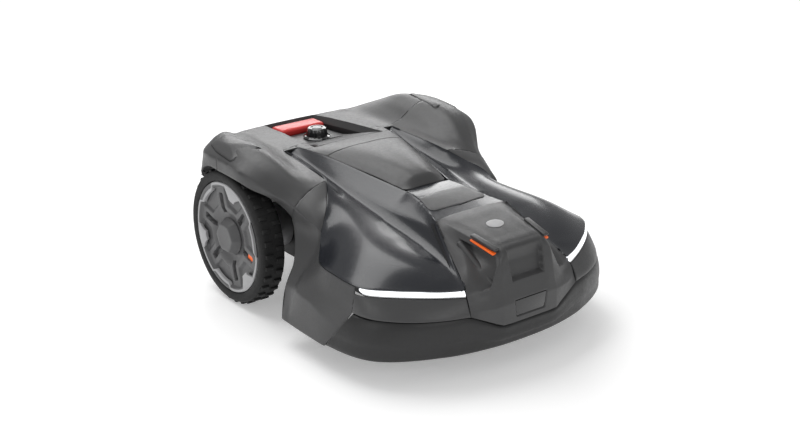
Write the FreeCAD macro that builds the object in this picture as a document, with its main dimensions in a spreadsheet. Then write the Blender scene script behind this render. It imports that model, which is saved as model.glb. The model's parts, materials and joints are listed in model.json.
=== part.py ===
"""Robotic lawn mower, written as a FreeCAD document.

Frame: millimetres, +Z up, ground at Z 0, front of the mower towards -Y, centre plane X 0,
origin on the ground under the middle of the overall length.
Every driving size sits in the spreadsheet "dims"; each sub-part is one labelled object.
"""
import FreeCAD, Part
import math
import os

from FreeCAD import Placement, Rotation, Vector

X, Y, Z = Vector(1, 0, 0), Vector(0, 1, 0), Vector(0, 0, 1)

DIMS = {
    # drive wheels
    "axle_y": 173, "axle_z": 130, "wheel_face_x": 269, "tyre_width": 52, "lug_count": 34,
    "lug_thick": 8, "shaft_radius": 8, "motor_radius": 42, "motor_length": 62,
    # chassis
    "tub_half_width": 145, "tub_front": -190, "tub_rear": 262, "tub_floor_z": 72, "tub_top_z": 182,
    "wall": 4, "lid_thick": 5, "gasket_thick": 2, "beam_half_width": 205, "beam_front": -262,
    "beam_floor_z": 98, "beam_thick": 14, "screw_radius": 2, "board_z": 158,
    # castors
    "castor_x": 165, "castor_y": -225, "castor_radius": 38, "castor_width": 26, "castor_trail": 20,
    "stem_radius": 7, "stem_top": 132, "bush_radius": 10, "castor_pin": 4,
    # cutting unit
    "disc_y": -20, "disc_radius": 92, "disc_z": 42, "disc_thick": 3, "blade_count": 3,
    "blade_pivot_r": 84, "blade_length": 40, "blade_width": 18, "blade_thick": 1,
    "cutter_motor_radius": 34, "carrier_radius": 46, "post_radius": 5, "post_offset": 62,
    # body shell
    "skin": 4, "seam": 1, "shell_floor_z": 50, "bumper_top_z": 120, "belt_top_z": 152,
    "led_top_z": 162, "rear_y": 378, "rear_skirt_z": 150, "tail_skirt_z": 104,
    "arch_front_y": -38, "arch_top_z": 268, "lip_drop": 11, "arch_x": 212, "lip_x": 272,
    # controls
    "stop_y": 330, "stop_width": 104, "stop_depth": 40, "stop_height": 16, "dial_y": 262,
    "panel_z": 238,
}

doc = FreeCAD.newDocument("robotic_mower")
sheet = doc.addObject("Spreadsheet::Sheet", "dims")
for row, (alias, value) in enumerate(DIMS.items(), 1):
    sheet.set(f"A{row}", alias)
    sheet.set(f"B{row}", str(value))
    sheet.setAlias(f"B{row}", alias)
doc.recompute()

PARTS = []      # every finished sub-part, in the order it is made


def d(alias):
    """The value of a spreadsheet cell."""
    return float(sheet.get(alias))


def bind(obj, **sizes):
    """Ties properties of obj to expressions over the spreadsheet."""
    for name, expression in sizes.items():
        for alias in sorted(DIMS, key=len, reverse=True):
            expression = expression.replace(f"<{alias}>", f"dims.{alias}")
        obj.setExpression(name, expression)
    return obj


def finish(obj, label, place=None):
    """Names obj as a sub-part of the mower."""
    obj.Label = label
    if place is not None:
        obj.Placement = place
    PARTS.append(obj)
    return obj


def at(x=0, y=0, z=0, axis=None):
    """A placement at a point, its own Z turned to axis."""
    return Placement(Vector(x, y, z), Rotation(Z, axis) if axis else Rotation())


def cylinder(radius, height, place):
    """Part::Cylinder with its radius and height bound to the sheet."""
    obj = doc.addObject("Part::Cylinder", "cylinder")
    bind(obj, Radius=radius, Height=height)
    obj.Placement = place
    return obj


def box(length, width, height, place):
    """Part::Box with its three sides bound to the sheet."""
    obj = doc.addObject("Part::Box", "box")
    bind(obj, Length=length, Width=width, Height=height)
    obj.Placement = place
    return obj


def cut(base, tool):
    obj = doc.addObject("Part::Cut", "cut")
    obj.Base, obj.Tool = base, tool
    return obj


def fuse(*shapes):
    obj = doc.addObject("Part::MultiFuse", "fuse")
    obj.Shapes = list(shapes)
    return obj


def group(*shapes):
    """Several separate solids kept as one sub-part."""
    obj = doc.addObject("Part::Compound", "group")
    obj.Links = list(shapes)
    return obj


def rounded(base, radius, keep=lambda edge: True):
    """Part::Fillet on the edges of base that keep() picks."""
    doc.recompute()
    obj = doc.addObject("Part::Fillet", "fillet")
    obj.Base = base
    picked = [i for i, edge in enumerate(base.Shape.Edges, 1) if keep(edge)]
    obj.Edges = [(i, radius, radius) for i in picked]
    return obj


def vertical(edge):
    """True for a straight edge along Z."""
    a, b = edge.Vertexes[0].Point, edge.Vertexes[-1].Point
    return abs(a.x - b.x) < 0.01 and abs(a.y - b.y) < 0.01 and abs(a.z - b.z) > 0.1


def shape_part(label, shape):
    """A sub-part whose shape is worked out with Part's own functions."""
    obj = doc.addObject("Part::Feature", label)
    obj.Shape = shape
    return finish(obj, label)


def body_on(plane, name):
    """A PartDesign body and a sketch on one of its origin planes."""
    body = doc.addObject("PartDesign::Body", name + "_body")
    sketch = body.newObject("Sketcher::SketchObject", name + "_sketch")
    role = [f for f in body.Origin.OriginFeatures if f.Role == plane][0]
    sketch.AttachmentSupport = (role, [""])
    sketch.MapMode = "FlatFace"
    return body, sketch


def closed_line(sketch, points):
    """Adds a closed polygon to a sketch."""
    vectors = [Vector(*p, 0) if len(p) == 2 else Vector(*p) for p in points]
    for a, b in zip(vectors, vectors[1:] + vectors[:1]):
        sketch.addGeometry(Part.LineSegment(a, b), False)


def circle(sketch, x, y, radius):
    """Adds a full circle to a sketch."""
    sketch.addGeometry(Part.Circle(Vector(x, y, 0), Z, radius), False)


def pad(body, sketch, length, name):
    """Pads a sketch by an expression over the sheet."""
    feature = body.newObject("PartDesign::Pad", name)
    feature.Profile = sketch
    bind(feature, Length=length)
    body.Tip = feature
    return feature


def revolved(name, outline):
    """A PartDesign body turned about its own Z from (radius, height) points."""
    body, sketch = body_on("XZ_Plane", name)
    closed_line(sketch, outline)
    feature = body.newObject("PartDesign::Revolution", name + "_turn")
    feature.Profile = sketch
    feature.ReferenceAxis = (sketch, ["V_Axis"])
    feature.Angle = 360
    body.Tip = feature
    return body


# --------------------------------------------------------------------------- body shell
def mirrored(points):
    """A half outline, given for X >= 0, closed by its mirror image."""
    return points + [(-x, y) for x, y in reversed(points) if x > 0]


def spline_wire(points, z):
    """A smooth closed plan outline at height z."""
    curve = Part.BSplineCurve()
    curve.interpolate([Vector(x, y, z) for x, y in points], PeriodicFlag=True)
    return Part.Wire(curve.toShape())


def polygon(points):
    """A closed wire through 3-D points."""
    vectors = [Vector(*p) for p in points]
    return Part.makePolygon(vectors + vectors[:1])


def section(y, half):
    """A closed cross-section at y, from (x, z) points given for X >= 0."""
    return polygon([(x, y, z) for x, z in half] + [(-x, y, z) for x, z in reversed(half)])


def prism(points, z0=40, z1=320):
    """Plan polygon swept from z0 to z1."""
    return Part.Face(polygon([(x, y, z0) for x, y in points])).extrude(Z * (z1 - z0))


def side_prism(points, x0, x1):
    """Side-view polygon of (y, z) points swept from x0 to x1."""
    return Part.Face(polygon([(x0, y, z) for y, z in points])).extrude(X * (x1 - x0))


def block(x0, x1, y0, y1, z0, z1):
    """A plain box between two corners."""
    return Part.makeBox(x1 - x0, y1 - y0, z1 - z0, Vector(x0, y0, z0))


def both_sides(shape):
    """The shape and its mirror image across the centre plane."""
    return shape, shape.mirror(Vector(0, 0, 0), X)


def plan_outline(inset):
    """Bumper-level outline of the whole mower, drawn in by inset."""
    nose_y, side_x = -d("rear_y") + 6 + inset, 286 - inset
    back_y = d("rear_y") - inset
    half = [(0, nose_y), (112, nose_y + 17), (172, nose_y + 41), (226, nose_y + 75),
            (262 - inset, nose_y + 122), (side_x - 4, nose_y + 175), (side_x, nose_y + 240),
            (side_x - 4, 0), (270 - inset, 130), (262 - inset, 235),
            (236 - inset, 292 - inset), (190, 326 - inset), (100, back_y - 10), (0, back_y)]
    return mirrored(half)


def hood_outline(inset, front_y, side_x):
    """Outline of the domed front, at one height; it narrows in proportion to its half width."""
    k = side_x / 258
    half = [(0, front_y + inset), (114 * k, front_y + 4 + inset), (165 * k, front_y + 26 + inset),
            (205 * k, front_y + 52 + inset), (238 * k - inset, front_y + 86),
            (side_x - inset, front_y + 130), (side_x - inset, -110), (side_x - 18 - inset, -30),
            (150, 60), (0, 90)]
    return mirrored(half)


def dome(inset):
    """Domed front hood, from the belt up to the foot of the raised centre."""
    levels = [(-336, 258, 60), (-336, 258, d("led_top_z") + 2 - inset), (-312, 238, 190 - inset),
              (-272, 204, 212 - inset)]
    wires = [spline_wire(hood_outline(inset, front_y, side_x), z) for front_y, side_x, z in levels]
    return Part.makeLoft(wires, True, True)


def spine(inset):
    """Raised centre of the body, from the tail to the top of the nose."""
    stations = [   # y, top half width, top z, crease half width, crease z, foot half width
        (d("rear_y") - 2 - inset, 72, 256, 112, 246, 118), (290, 96, 268, 150, 262, 162),
        (186, 101, 276, 140, 264, 162), (100, 87, 277, 120, 256, 156),
        (-15, 63, 261, 101, 239, 130), (-85, 48, 248, 93, 230, 112), (-165, 64, 243, 87, 223, 100),
        (-209, 72, 238, 82, 222, 98)]
    wires = [section(y, [(top_w - inset, top_z - inset), (crease_w - inset, crease_z - inset),
                         (foot_w - inset, 60)])
             for y, top_w, top_z, crease_w, crease_z, foot_w in stations]
    return Part.makeLoft(wires, True, True)


def fender(inset):
    """Cover of one rear wheel, X > 0."""
    stations = [   # y, top z, outer x
        (290 - inset, 278, 270), (235, 297, 278), (150, 300, 278), (110, 292, 276), (75, 270, 258),
        (45, 238, 236), (20 + inset, 212, 226)]
    wires = []
    for y, top_z, out_x in stations:
        top_z, out_x = top_z - inset, out_x - inset
        shoulder_x = min(250, out_x - 10)
        points = [(100 + inset, 60), (100 + inset, 232), (136, (262 + top_z) / 2 - 20),
                  (min(205, shoulder_x - 4), top_z), (shoulder_x, top_z - 4), (out_x, top_z - 24),
                  (out_x, 60)]
        wires.append(polygon([(x, y, z) for x, z in points]))
    return Part.makeLoft(wires, True, True)


def nose(inset):
    """Sensor housing at the front."""
    stations = [   # y, top half width, top z, foot half width
        (-205, 70, 237, 84), (-300, 60, 226, 96), (-338 + inset, 55, 219, 100),
        (-356 + inset, 52, 178, 104), (-369 + inset, 56, 122, 62)]
    wires = [section(y, [(top_w - inset, top_z - inset), (foot_w - inset, 60)])
             for y, top_w, top_z, foot_w in stations]
    return Part.makeLoft(wires, True, True)


def arch(grow, x0, drop=0):
    """Space cleared for one rear wheel, X > x0, grown away from the axle by grow."""
    front_y, top_z = d("arch_front_y"), d("arch_top_z") - drop
    points = [(front_y, 0), (front_y + 3, 50), (-10, 120), (17, 170), (28, 193), (40, 215),
              (62, top_z - 28), (100, top_z - 6), (140, top_z), (210, top_z), (240, top_z - 12),
              (262, top_z - 28), (285, top_z - 50), (340, 190), (340, 0)]
    moved = []
    for y, z in points:
        dy, dz = y - d("axle_y"), z - d("axle_z")
        reach = math.hypot(dy, dz)
        if z:
            moved.append((y + dy / reach * grow, z + dz / reach * grow))
        else:
            moved.append((y + math.copysign(grow, dy), 0))
    return side_prism(moved, x0, 330)


def envelope(inset):
    """The mower's outer form, or the hollow inside it when drawn in by a skin thickness."""
    floor = d("shell_floor_z")
    outline = Part.Face(spline_wire(plan_outline(inset), floor - (60 if inset else 0)))
    base = outline.extrude(Z * (d("led_top_z") - inset - floor + (60 if inset else 0)))
    form = base.fuse([dome(inset), spine(inset), nose(inset), *both_sides(fender(inset))])
    for tool in both_sides(arch(inset, d("arch_x") - inset)):
        form = form.cut(tool)
    return form


def zone(points, grow, z0, z1):
    """Plan polygon grown by a margin and swept from z0 to z1."""
    face = Part.Face(polygon([(x, y, z0) for x, y in points])).makeOffset2D(grow, 2)
    return face.extrude(Z * (z1 - z0))


def skin_patch(form, thick, space):
    """A thin plate that lies on a column's surface inside a zone."""
    return form(-thick).cut(form(0)).common(space)


def inlay(name, tool):
    """Takes the part of a panel inside a tool out of it, as a piece that fills the opening."""
    piece = PANELS[name].common(tool)
    PANELS[name] = PANELS[name].cut(tool)
    return piece


HATCH = mirrored([(30, -90), (48, -82), (87, 100)])
HOOD = mirrored([(88, 102), (101, 177), (127, 186), (150, 14), (226, -66), (243, -110), (262, -170),
                 (262, -400)])
NOSE = mirrored([(60, -204), (79, -212), (121, -400)])
RECESS = mirrored([(66, 150), (74, 366)])


def panel(shell, outline, z0, z1=320):
    """Cuts a panel out of the shell, with a seam all round; returns the rest and the panel."""
    gap = d("seam") / 2
    piece = shell.common(zone(outline, -gap, z0 + gap, z1))
    return shell.cut(zone(outline, gap, z0 - gap, z1 + gap)), piece


def make_shell():
    """The hollow shell and the panels cut out of it, by name."""
    core = [block(-149, 149, -195, 266, 60, 200), block(-116, 116, -116, 116, 60, 207)]
    hollow = envelope(d("skin")).fuse(core)
    shell = envelope(0).cut(hollow)
    shell = shell.cut(block(-450, 450, 8, 272, 0, d("rear_skirt_z")))
    shell = shell.cut(block(-450, 450, 260, 450, 0, d("tail_skirt_z")))
    for tool in both_sides(arch(0, d("lip_x"), d("lip_drop"))):
        shell = shell.cut(tool)
    everywhere_front = mirrored([(300, -172), (300, -420)])
    lamp_zone = mirrored([(290, -222), (290, -420)])
    shell, bumper = panel(shell, everywhere_front, 0, d("bumper_top_z"))
    shell, nose_part = panel(shell, NOSE, 95)
    shell, hatch_part = panel(shell, HATCH, 180)
    shell, hood_part = panel(shell, HOOD, d("led_top_z"))
    shell, lamps = panel(shell, lamp_zone, d("belt_top_z"), d("led_top_z"))
    shell = shell.cut(prism(RECESS, 225))
    return hollow, {"shell": shell, "bumper": bumper, "nose": nose_part, "hatch": hatch_part,
                    "hood": hood_part, "lamps": lamps}


def solids_on(shape, side):
    """The one solid of a shape whose middle is on a side of the centre plane."""
    found = [s for s in shape.Solids if s.CenterOfMass.x * side > 20]
    return max(found, key=lambda s: s.Volume)


HOLLOW, PANELS = make_shell()
window = inlay("nose", block(-32, 32, -400, -350, 104, 134))
badge = inlay("nose", Part.makeCylinder(15, 60, Vector(0, -272, 210)))
accents = inlay("nose", block(-120, 120, -340, -296, 198, 204))
shape_part("body_shell", PANELS["shell"])
shape_part("front_bumper", PANELS["bumper"])
shape_part("nose_module", PANELS["nose"])
shape_part("central_hatch", PANELS["hatch"])
shape_part("front_hood", PANELS["hood"])
shape_part("headlights", PANELS["lamps"])
shape_part("nose_accents", accents)
pad_zone = prism([(206, 150), (262, 146), (256, 232), (212, 232)], 250)
fender_pad = fender(-2).cut(fender(0)).common(pad_zone)
shape_part("fender_pads", Part.makeCompound(both_sides(fender_pad)))
shape_part("hood_plate", skin_patch(spine, 1, prism(mirrored([(50, -128), (60, -176)]), 235)))
shape_part("nose_window", window)
shape_part("nose_badge", badge)

# --------------------------------------------------------------------------- chassis
tub_place = Vector(-d("tub_half_width"), d("tub_front"), d("tub_floor_z"))
tub_block = box("2 * <tub_half_width>", "<tub_rear> - <tub_front>", "<tub_top_z> - <tub_floor_z>",
                Placement(tub_place, Rotation()))
tub_block = rounded(tub_block, 14, vertical)
tub_hollow = box("2 * (<tub_half_width> - <wall>)", "<tub_rear> - <tub_front> - 2 * <wall>",
                 "<tub_top_z> - <tub_floor_z>",
                 Placement(tub_place + Vector(1, 1, 1) * d("wall"), Rotation()))
tub_hollow = rounded(tub_hollow, 10, vertical)
beam = box("2 * <beam_half_width>", "<tub_front> - <beam_front> + 2", "<beam_thick>",
           at(-d("beam_half_width"), d("beam_front"), d("beam_floor_z")))
beam = rounded(beam, 18, vertical)
LID_SCREWS = [(s * (d("tub_half_width") - 11), y) for s in (-1, 1) for y in (-176, -60, 75, 248)]
bosses = [cylinder("5", "<tub_top_z> - <tub_floor_z> - 1", at(x, y, d("tub_floor_z") + 1))
          for x, y in LID_SCREWS]
castor_bosses = [cylinder("<bush_radius> + 6", "<stem_top> - 2 - <beam_floor_z>",
                          at(s * d("castor_x"), d("castor_y"), d("beam_floor_z"))) for s in (-1, 1)]
screw_y = d("disc_y") + d("post_offset")
screw_boss = cylinder("<post_radius> + 4", "2.5", at(0, screw_y, d("tub_floor_z") + d("wall")))
tub = fuse(cut(tub_block, tub_hollow), beam, *bosses, *castor_bosses, screw_boss)
holes = [cylinder("<carrier_radius> + 6", "20", at(0, d("disc_y"), d("tub_floor_z") - 8)),
         cylinder("<post_radius> + 0.05", "9", at(0, screw_y, d("tub_floor_z") + d("wall")))]
for s in (-1, 1):
    holes.append(cylinder("24.2", "60", at(s * 100, d("axle_y"), d("axle_z"), X * s)))
    holes.append(cylinder("<bush_radius>", "60",
                          at(s * d("castor_x"), d("castor_y"), d("beam_floor_z") - 10)))
holes += [cylinder("<screw_radius>", "16", at(x, y, d("tub_top_z") - 12)) for x, y in LID_SCREWS]
finish(cut(tub, group(*holes)), "chassis_tub")


def lid_plate(name, z, thick, window=None):
    """Plate over the tub with its screw holes, padded from a sketch."""
    body, sketch = body_on("XY_Plane", name)
    half, front, rear = d("tub_half_width"), d("tub_front"), d("tub_rear")
    closed_line(sketch, [(-half, front + 6), (-half + 6, front), (half - 6, front), (half, front + 6),
                         (half, rear - 6), (half - 6, rear), (-half + 6, rear), (-half, rear - 6)])
    if window:
        closed_line(sketch, [(-half + window, front + window), (half - window, front + window),
                             (half - window, rear - window), (-half + window, rear - window)])
    for x, y in LID_SCREWS:
        circle(sketch, x, y, d("screw_radius") + 0.2)
    for x, y in ([] if window else FLOAT_PINS):
        circle(sketch, x, y, d("screw_radius"))
    pad(body, sketch, thick, name + "_pad")
    return finish(body, name, at(0, 0, z))


FLOAT_PINS = [(sx * 95, sy * 40) for sx in (-1, 1) for sy in (-1, 1)]
FLOAT_PEGS = [(sx * 95, sy * 92) for sx in (-1, 1) for sy in (-1, 1)]
gasket_z = d("tub_top_z")
lid_z = gasket_z + d("gasket_thick")
lid_top = lid_z + d("lid_thick")
lid_plate("lid_gasket", gasket_z, "<gasket_thick>", 17)
lid_plate("chassis_lid", lid_z, "<lid_thick>")
lid_screws = []
for x, y in LID_SCREWS:
    lid_screws.append(fuse(cylinder("<screw_radius>", "18", at(x, y, lid_top - 18)),
                           cylinder("2 * <screw_radius>", "2.5", at(x, y, lid_top))))
finish(group(*lid_screws), "lid_screws")

battery = rounded(box("150", "150", "64", at(-75, 95, d("tub_floor_z") + d("wall"))), 6, vertical)
finish(battery, "battery_pack")
board_z = d("board_z")
posts = [cylinder("3", "<board_z> - <tub_floor_z> - <wall>", at(sx * 86, y, d("tub_floor_z") + d("wall")))
         for sx in (-1, 1) for y in (100, 236)]
board = box("184", "150", "1.6", at(-92, 93, board_z))
chips = [box("36", "36", "4", at(-60, 120, board_z + 1.6)), box("24", "60", "10", at(30, 130, board_z + 1.6)),
         box("60", "12", "11", at(-40, 215, board_z + 1.6))]
finish(fuse(board, *chips, *posts), "main_board")
finish(rounded(box("70", "60", "12", at(-35, -82, lid_top)), 5, vertical), "antenna_module")

for s, name in ((1, "left"), (-1, "right")):
    axle = at(0, d("axle_y"), d("axle_z"), X * s)
    can = cylinder("24", "<tub_half_width> - 100", at(s * 100, d("axle_y"), d("axle_z"), X * s))
    gearbox = rounded(cylinder("<motor_radius>", "<motor_length>",
                               at(s * d("tub_half_width"), d("axle_y"), d("axle_z"), X * s)), 3)
    bore = cylinder("<shaft_radius> + 0.05", "40", at(s * 174, d("axle_y"), d("axle_z"), X * s))
    finish(cut(fuse(can, gearbox), bore), f"wheel_motor_{name}")

bushes = []
for s in (-1, 1):
    place = at(s * d("castor_x"), d("castor_y"), d("beam_floor_z"))
    outer = cylinder("<bush_radius>", "<stem_top> - 2 - <beam_floor_z>", place)
    inner = cylinder("<stem_radius> + 0.05", "50",
                     at(s * d("castor_x"), d("castor_y"), d("beam_floor_z") - 5))
    bushes.append(cut(outer, inner))
finish(group(*bushes), "castor_bushes")
finish(group(*[box("16", "3", "10", at(x, d("beam_front") - 3, d("beam_floor_z") + 2)) for x in (-46, 30)]),
       "charging_contacts")
post_height = lid_z - d("tub_floor_z") - d("wall")
guide_posts = [cylinder("<post_radius>", str(post_height),
                        at(s * d("post_offset"), d("disc_y"), d("tub_floor_z") + d("wall"))) for s in (-1, 1)]
finish(group(*guide_posts), "height_guide_posts")
motor_z = 152
height_motor = cut(cylinder("16", f"{lid_z} - {motor_z}", at(0, screw_y, motor_z)),
                   cylinder("<post_radius> + 0.05", "12", at(0, screw_y, motor_z)))
finish(height_motor, "height_motor")
rest_z = d("tub_floor_z") - 6
rest = rounded(box("200", "50", "6", at(-100, 205, rest_z)), 8, vertical)
rest = cut(rest, group(*[cylinder("2", "6", at(s * 60, 230, rest_z)) for s in (-1, 1)]))
finish(rest, "rear_foot")
pin_heads = []
for x, y in FLOAT_PINS:
    pin_heads.append(fuse(cylinder("4", "12", at(x, y, lid_top)), cylinder("7", "3", at(x, y, lid_top + 12)),
                          cylinder("<screw_radius>", "<lid_thick>", at(x, y, lid_z))))
finish(group(*pin_heads), "float_pins")

# --------------------------------------------------------------------------- floating frame of the shell
frame_z = lid_top + 5
frame_plate = cut(box("220", "220", "4", at(-110, -110, frame_z)),
                  box("150", "190", "4", at(-75, -95, frame_z)))
slots = [box("8.6", "19", "4", at(x - 4.3, y - 9.5, frame_z)) for x, y in FLOAT_PINS]
feet = [box("18", "12", "4.8", at(x - 9, y * 1.08 - 6, lid_top + 0.2)) for x, y in FLOAT_PEGS]
pegs = [cylinder("5", "8", at(x, y, frame_z + 4)) for x, y in FLOAT_PEGS]
finish(fuse(cut(frame_plate, group(*slots)), *feet, *pegs), "float_frame")
posts = [Part.makeCylinder(9, 120, Vector(x, y, frame_z + 4.4)).cut(
    Part.makeCylinder(5.3, 21, Vector(x, y, frame_z + 4))) for x, y in FLOAT_PEGS]
shape_part("shell_posts", Part.makeCompound([p.common(HOLLOW) for p in posts]))

# --------------------------------------------------------------------------- wheels

def tyre_shape():
    """Tyre with two staggered rows of lugs; its own Z is the axle, outwards."""
    outline = [(108, 3), (108, 49), (118, 52), (126, 45), (126, 7), (118, 0)]
    ring = Part.Face(polygon([(r, 0, h) for r, h in outline])).revolve(Vector(0, 0, 0), Z, 360)
    lug = Part.makeBox(6, d("lug_thick"), 17, Vector(124, -d("lug_thick") / 2, 0))
    lugs = []
    lug_count = int(d("lug_count"))
    for i in range(2 * lug_count):
        one = lug.translated(Vector(0, 0, 7 + 21 * (i % 2)))
        one.rotate(Vector(0, 0, 0), Z, 180 / lug_count * i)
        lugs.append(one)
    return ring.fuse(lugs)


TYRE = tyre_shape()
for s, name in ((1, "left"), (-1, "right")):
    hub = Placement(Vector(s * (d("wheel_face_x") - d("tyre_width")), d("axle_y"), d("axle_z")),
                    Rotation(Z, X * s))
    tyre = shape_part(f"tyre_{name}", TYRE)
    tyre.Placement = hub
    turned = revolved(f"rim_{name}", [(8, 2), (26, 2), (30, 30), (103, 33), (104, 4), (108, 4), (108, 48),
                                      (104, 48), (103, 42), (8, 42)])
    pockets = []
    for i in range(6):
        pocket = box("22", "24", "6", Placement())
        pocket.Placement = Placement(Vector(0, 0, 0), Rotation(Z, 60 * i)).multiply(
            Placement(Vector(46, -12, 37), Rotation()))
        pockets.append(pocket)
    disc = cut(turned, group(*pockets))
    finish(disc, f"wheel_disc_{name}", hub)
    insert = box("18", "20", "3", Placement(Vector(48, -10, 37), Rotation()))
    finish(group(insert), f"wheel_insert_{name}", hub)
    ring = revolved(f"trim_ring_{name}", [(92, 42), (102, 42), (100, 49), (94, 49)])
    wedges = []
    for i in range(3):
        wedge = box("22", "44", "5", Placement())
        wedge.Placement = Placement(Vector(0, 0, 0), Rotation(Z, 120 * i + 30)).multiply(
            Placement(Vector(71, -22, 42), Rotation()))
        wedges.append(wedge)
    finish(fuse(ring, *wedges), f"wheel_trim_{name}", hub)
    cap = revolved(f"hub_cap_{name}", [(0, 42), (26, 42), (26, 45), (20, 51), (0, 51)])
    finish(cap, f"hub_cap_{name}", hub)
    inner_end = Placement(Vector(0, 0, -41), Rotation())
    finish(cylinder("<shaft_radius>", "83", inner_end), f"drive_shaft_{name}", hub.multiply(inner_end))

# --------------------------------------------------------------------------- castors
for s, name in ((1, "left"), (-1, "right")):
    x, y, wheel_y = s * d("castor_x"), d("castor_y"), d("castor_y") + d("castor_trail")
    crown_z = d("beam_floor_z") - 0.5
    crown = rounded(box("46", "59", "12", at(x - 23, y - 18, crown_z - 12)), 10, vertical)
    arms = [box("6", "30", "66", at(x + side * 20 - 3, wheel_y - 15, crown_z - 76)) for side in (-1, 1)]
    stem = cylinder("<stem_radius>", "<stem_top> - <beam_floor_z> + 6", at(x, y, crown_z - 1))
    collar = cylinder("10", "3", at(x, y, d("stem_top") - 1.5))
    pin_hole = cylinder("<castor_pin>", "60", at(x - 30, wheel_y, d("castor_radius"), X))
    fork = cut(fuse(crown, *arms, stem, collar), pin_hole)
    pin = cylinder("<castor_pin>", "48", at(x - 24, wheel_y, d("castor_radius"), X))
    finish(group(fork, pin), f"castor_fork_{name}")
    half = d("castor_width") / 2
    wheel = revolved(f"castor_{name}", [(4.05, -15), (10, -15), (12, -8), (27, -8), (30, -half), (34, -half),
                                        (38, -half + 4), (38, half - 4), (34, half), (30, half), (27, 8),
                                        (12, 8), (10, 15), (4.05, 15)])
    finish(wheel, f"castor_wheel_{name}", at(x, wheel_y, d("castor_radius"), X))

# --------------------------------------------------------------------------- cutting unit
disc_y, disc_z = d("disc_y"), d("disc_z")
sleeve = cylinder("<carrier_radius>", "50", at(0, disc_y, 60))
motor_seat = cylinder("<cutter_motor_radius>", "60", at(0, disc_y, 56))
GUIDES = [(d("post_offset"), disc_y), (-d("post_offset"), disc_y), (0, screw_y)]
ear_z = 99
ears = [cylinder("12", "11", at(x, y, ear_z)) for x, y in GUIDES]
webs = [box("2 * <post_offset>", "14", "11", at(-d("post_offset"), disc_y - 7, ear_z)),
        box("14", "<post_offset>", "11", at(-7, disc_y, ear_z))]
guide_holes = [cylinder("<post_radius> + 0.05", "30", at(x, y, ear_z - 5)) for x, y in GUIDES]
finish(cut(fuse(sleeve, *ears, *webs), group(motor_seat, *guide_holes)), "cutter_carrier")
cutting_motor = cut(cylinder("<cutter_motor_radius>", "58", at(0, disc_y, 56)),
                    cylinder("5.05", "26", at(0, disc_y, 56)))
finish(cutting_motor, "cutting_motor")
finish(cylinder("<post_radius>", "84", at(0, screw_y, d("tub_floor_z") + d("wall") + 0.3)), "height_screw")

BLADES = [90 + 120 * i for i in range(int(d("blade_count")))]


def polar(radius, angle):
    """A point around the cutting disc's axis."""
    turn = math.radians(angle)
    return radius * math.cos(turn), disc_y + radius * math.sin(turn)


plate_body, plate_sketch = body_on("XY_Plane", "cutting_disc")
circle(plate_sketch, 0, 0, d("disc_radius"))
circle(plate_sketch, 0, 0, 5)
for angle in BLADES:
    x, y = polar(d("blade_pivot_r"), angle)
    circle(plate_sketch, x, y - disc_y, 2.5)
    x, y = polar(56, angle + 60)
    circle(plate_sketch, x, y - disc_y, 12)
pad(plate_body, plate_sketch, "<disc_thick>", "cutting_disc_pad")
finish(plate_body, "cutting_disc", at(0, disc_y, disc_z))
shaft = cylinder("5", "51", at(0, disc_y, 29))
finish(fuse(shaft, cylinder("16", "8", at(0, disc_y, disc_z + d("disc_thick"))),
            cylinder("10", "3", at(0, disc_y, 29.5))), "cutter_shaft")
blade_screws = []
for index, angle in enumerate(BLADES, 1):
    x, y = polar(d("blade_pivot_r"), angle)
    blade_screws.append(fuse(cylinder("2.5", "5", at(x, y, disc_z - 2)),
                             cylinder("4.5", "2", at(x, y, disc_z - 4))))
    blade, sketch = body_on("XY_Plane", f"blade_{index}")
    half, reach = d("blade_width") / 2, d("blade_length") - 6
    closed_line(sketch, [(-6, -half + 2), (-4, -half), (reach - 3, -half), (reach, -half + 3),
                         (reach, half - 3), (reach - 3, half), (-4, half), (-6, half - 2)])
    circle(sketch, 0, 0, 2.58)
    pad(blade, sketch, "<blade_thick>", f"blade_{index}_pad")
    finish(blade, f"blade_{index}", Placement(Vector(x, y, disc_z - 1.5), Rotation(Z, angle)))
finish(group(*blade_screws), "blade_screws")
skid = revolved("skid", [(5.05, 33), (5.05, 38), (14, 38), (18, 36), (70, 36), (74, 38), (74, 35), (68, 33)])
finish(skid, "skid_plate", at(0, disc_y, 0))

# --------------------------------------------------------------------------- controls
tray_z, stop_y, dial_y = d("panel_z"), d("stop_y"), d("dial_y")
tray = box("126", "206", "14", at(-63, 154, tray_z - 8))
trench = cut(box("118", "198", "14", at(-59, 158, tray_z - 4)),
             box("96", "182", "14", at(-48, 166, tray_z - 4)))
well = rounded(box("<stop_width> + 2", "<stop_depth> + 2", "20",
                   at(-d("stop_width") / 2 - 1, stop_y - d("stop_depth") / 2 - 1, tray_z - 3)), 7, vertical)
tray_holes = [cylinder("6.05", "30", at(0, dial_y, tray_z - 12)),
              cylinder("6.1", "30", at(0, stop_y, tray_z - 12))]
TRAY_SCREWS = [(s * 54, y) for s in (-1, 1) for y in (163, 250)]
tray_holes += [cylinder("1.5", "30", at(x, y, tray_z - 12)) for x, y in TRAY_SCREWS]
window_seat = box("34", "12", "4", at(-17, 214, tray_z + 3.5))
finish(cut(tray, group(trench, well, window_seat, *tray_holes)), "control_tray")
finish(group(box("34", "12", "3", at(-17, 214, tray_z + 3.5))), "status_window")
finish(group(*[fuse(cylinder("1.5", "6", at(x, y, tray_z - 8)), cylinder("2.6", "1.5", at(x, y, tray_z - 4)))
               for x, y in TRAY_SCREWS]), "tray_screws")

button = rounded(box("<stop_width>", "<stop_depth>", "<stop_height>",
                     at(-d("stop_width") / 2, stop_y - d("stop_depth") / 2, tray_z + 4)), 6, vertical)
button = rounded(button, 2.5, lambda e: min(v.Point.z for v in e.Vertexes) > tray_z + 3 + d("stop_height"))
finish(fuse(button, cylinder("6", "16", at(0, stop_y, tray_z - 10))), "stop_button")

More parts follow.
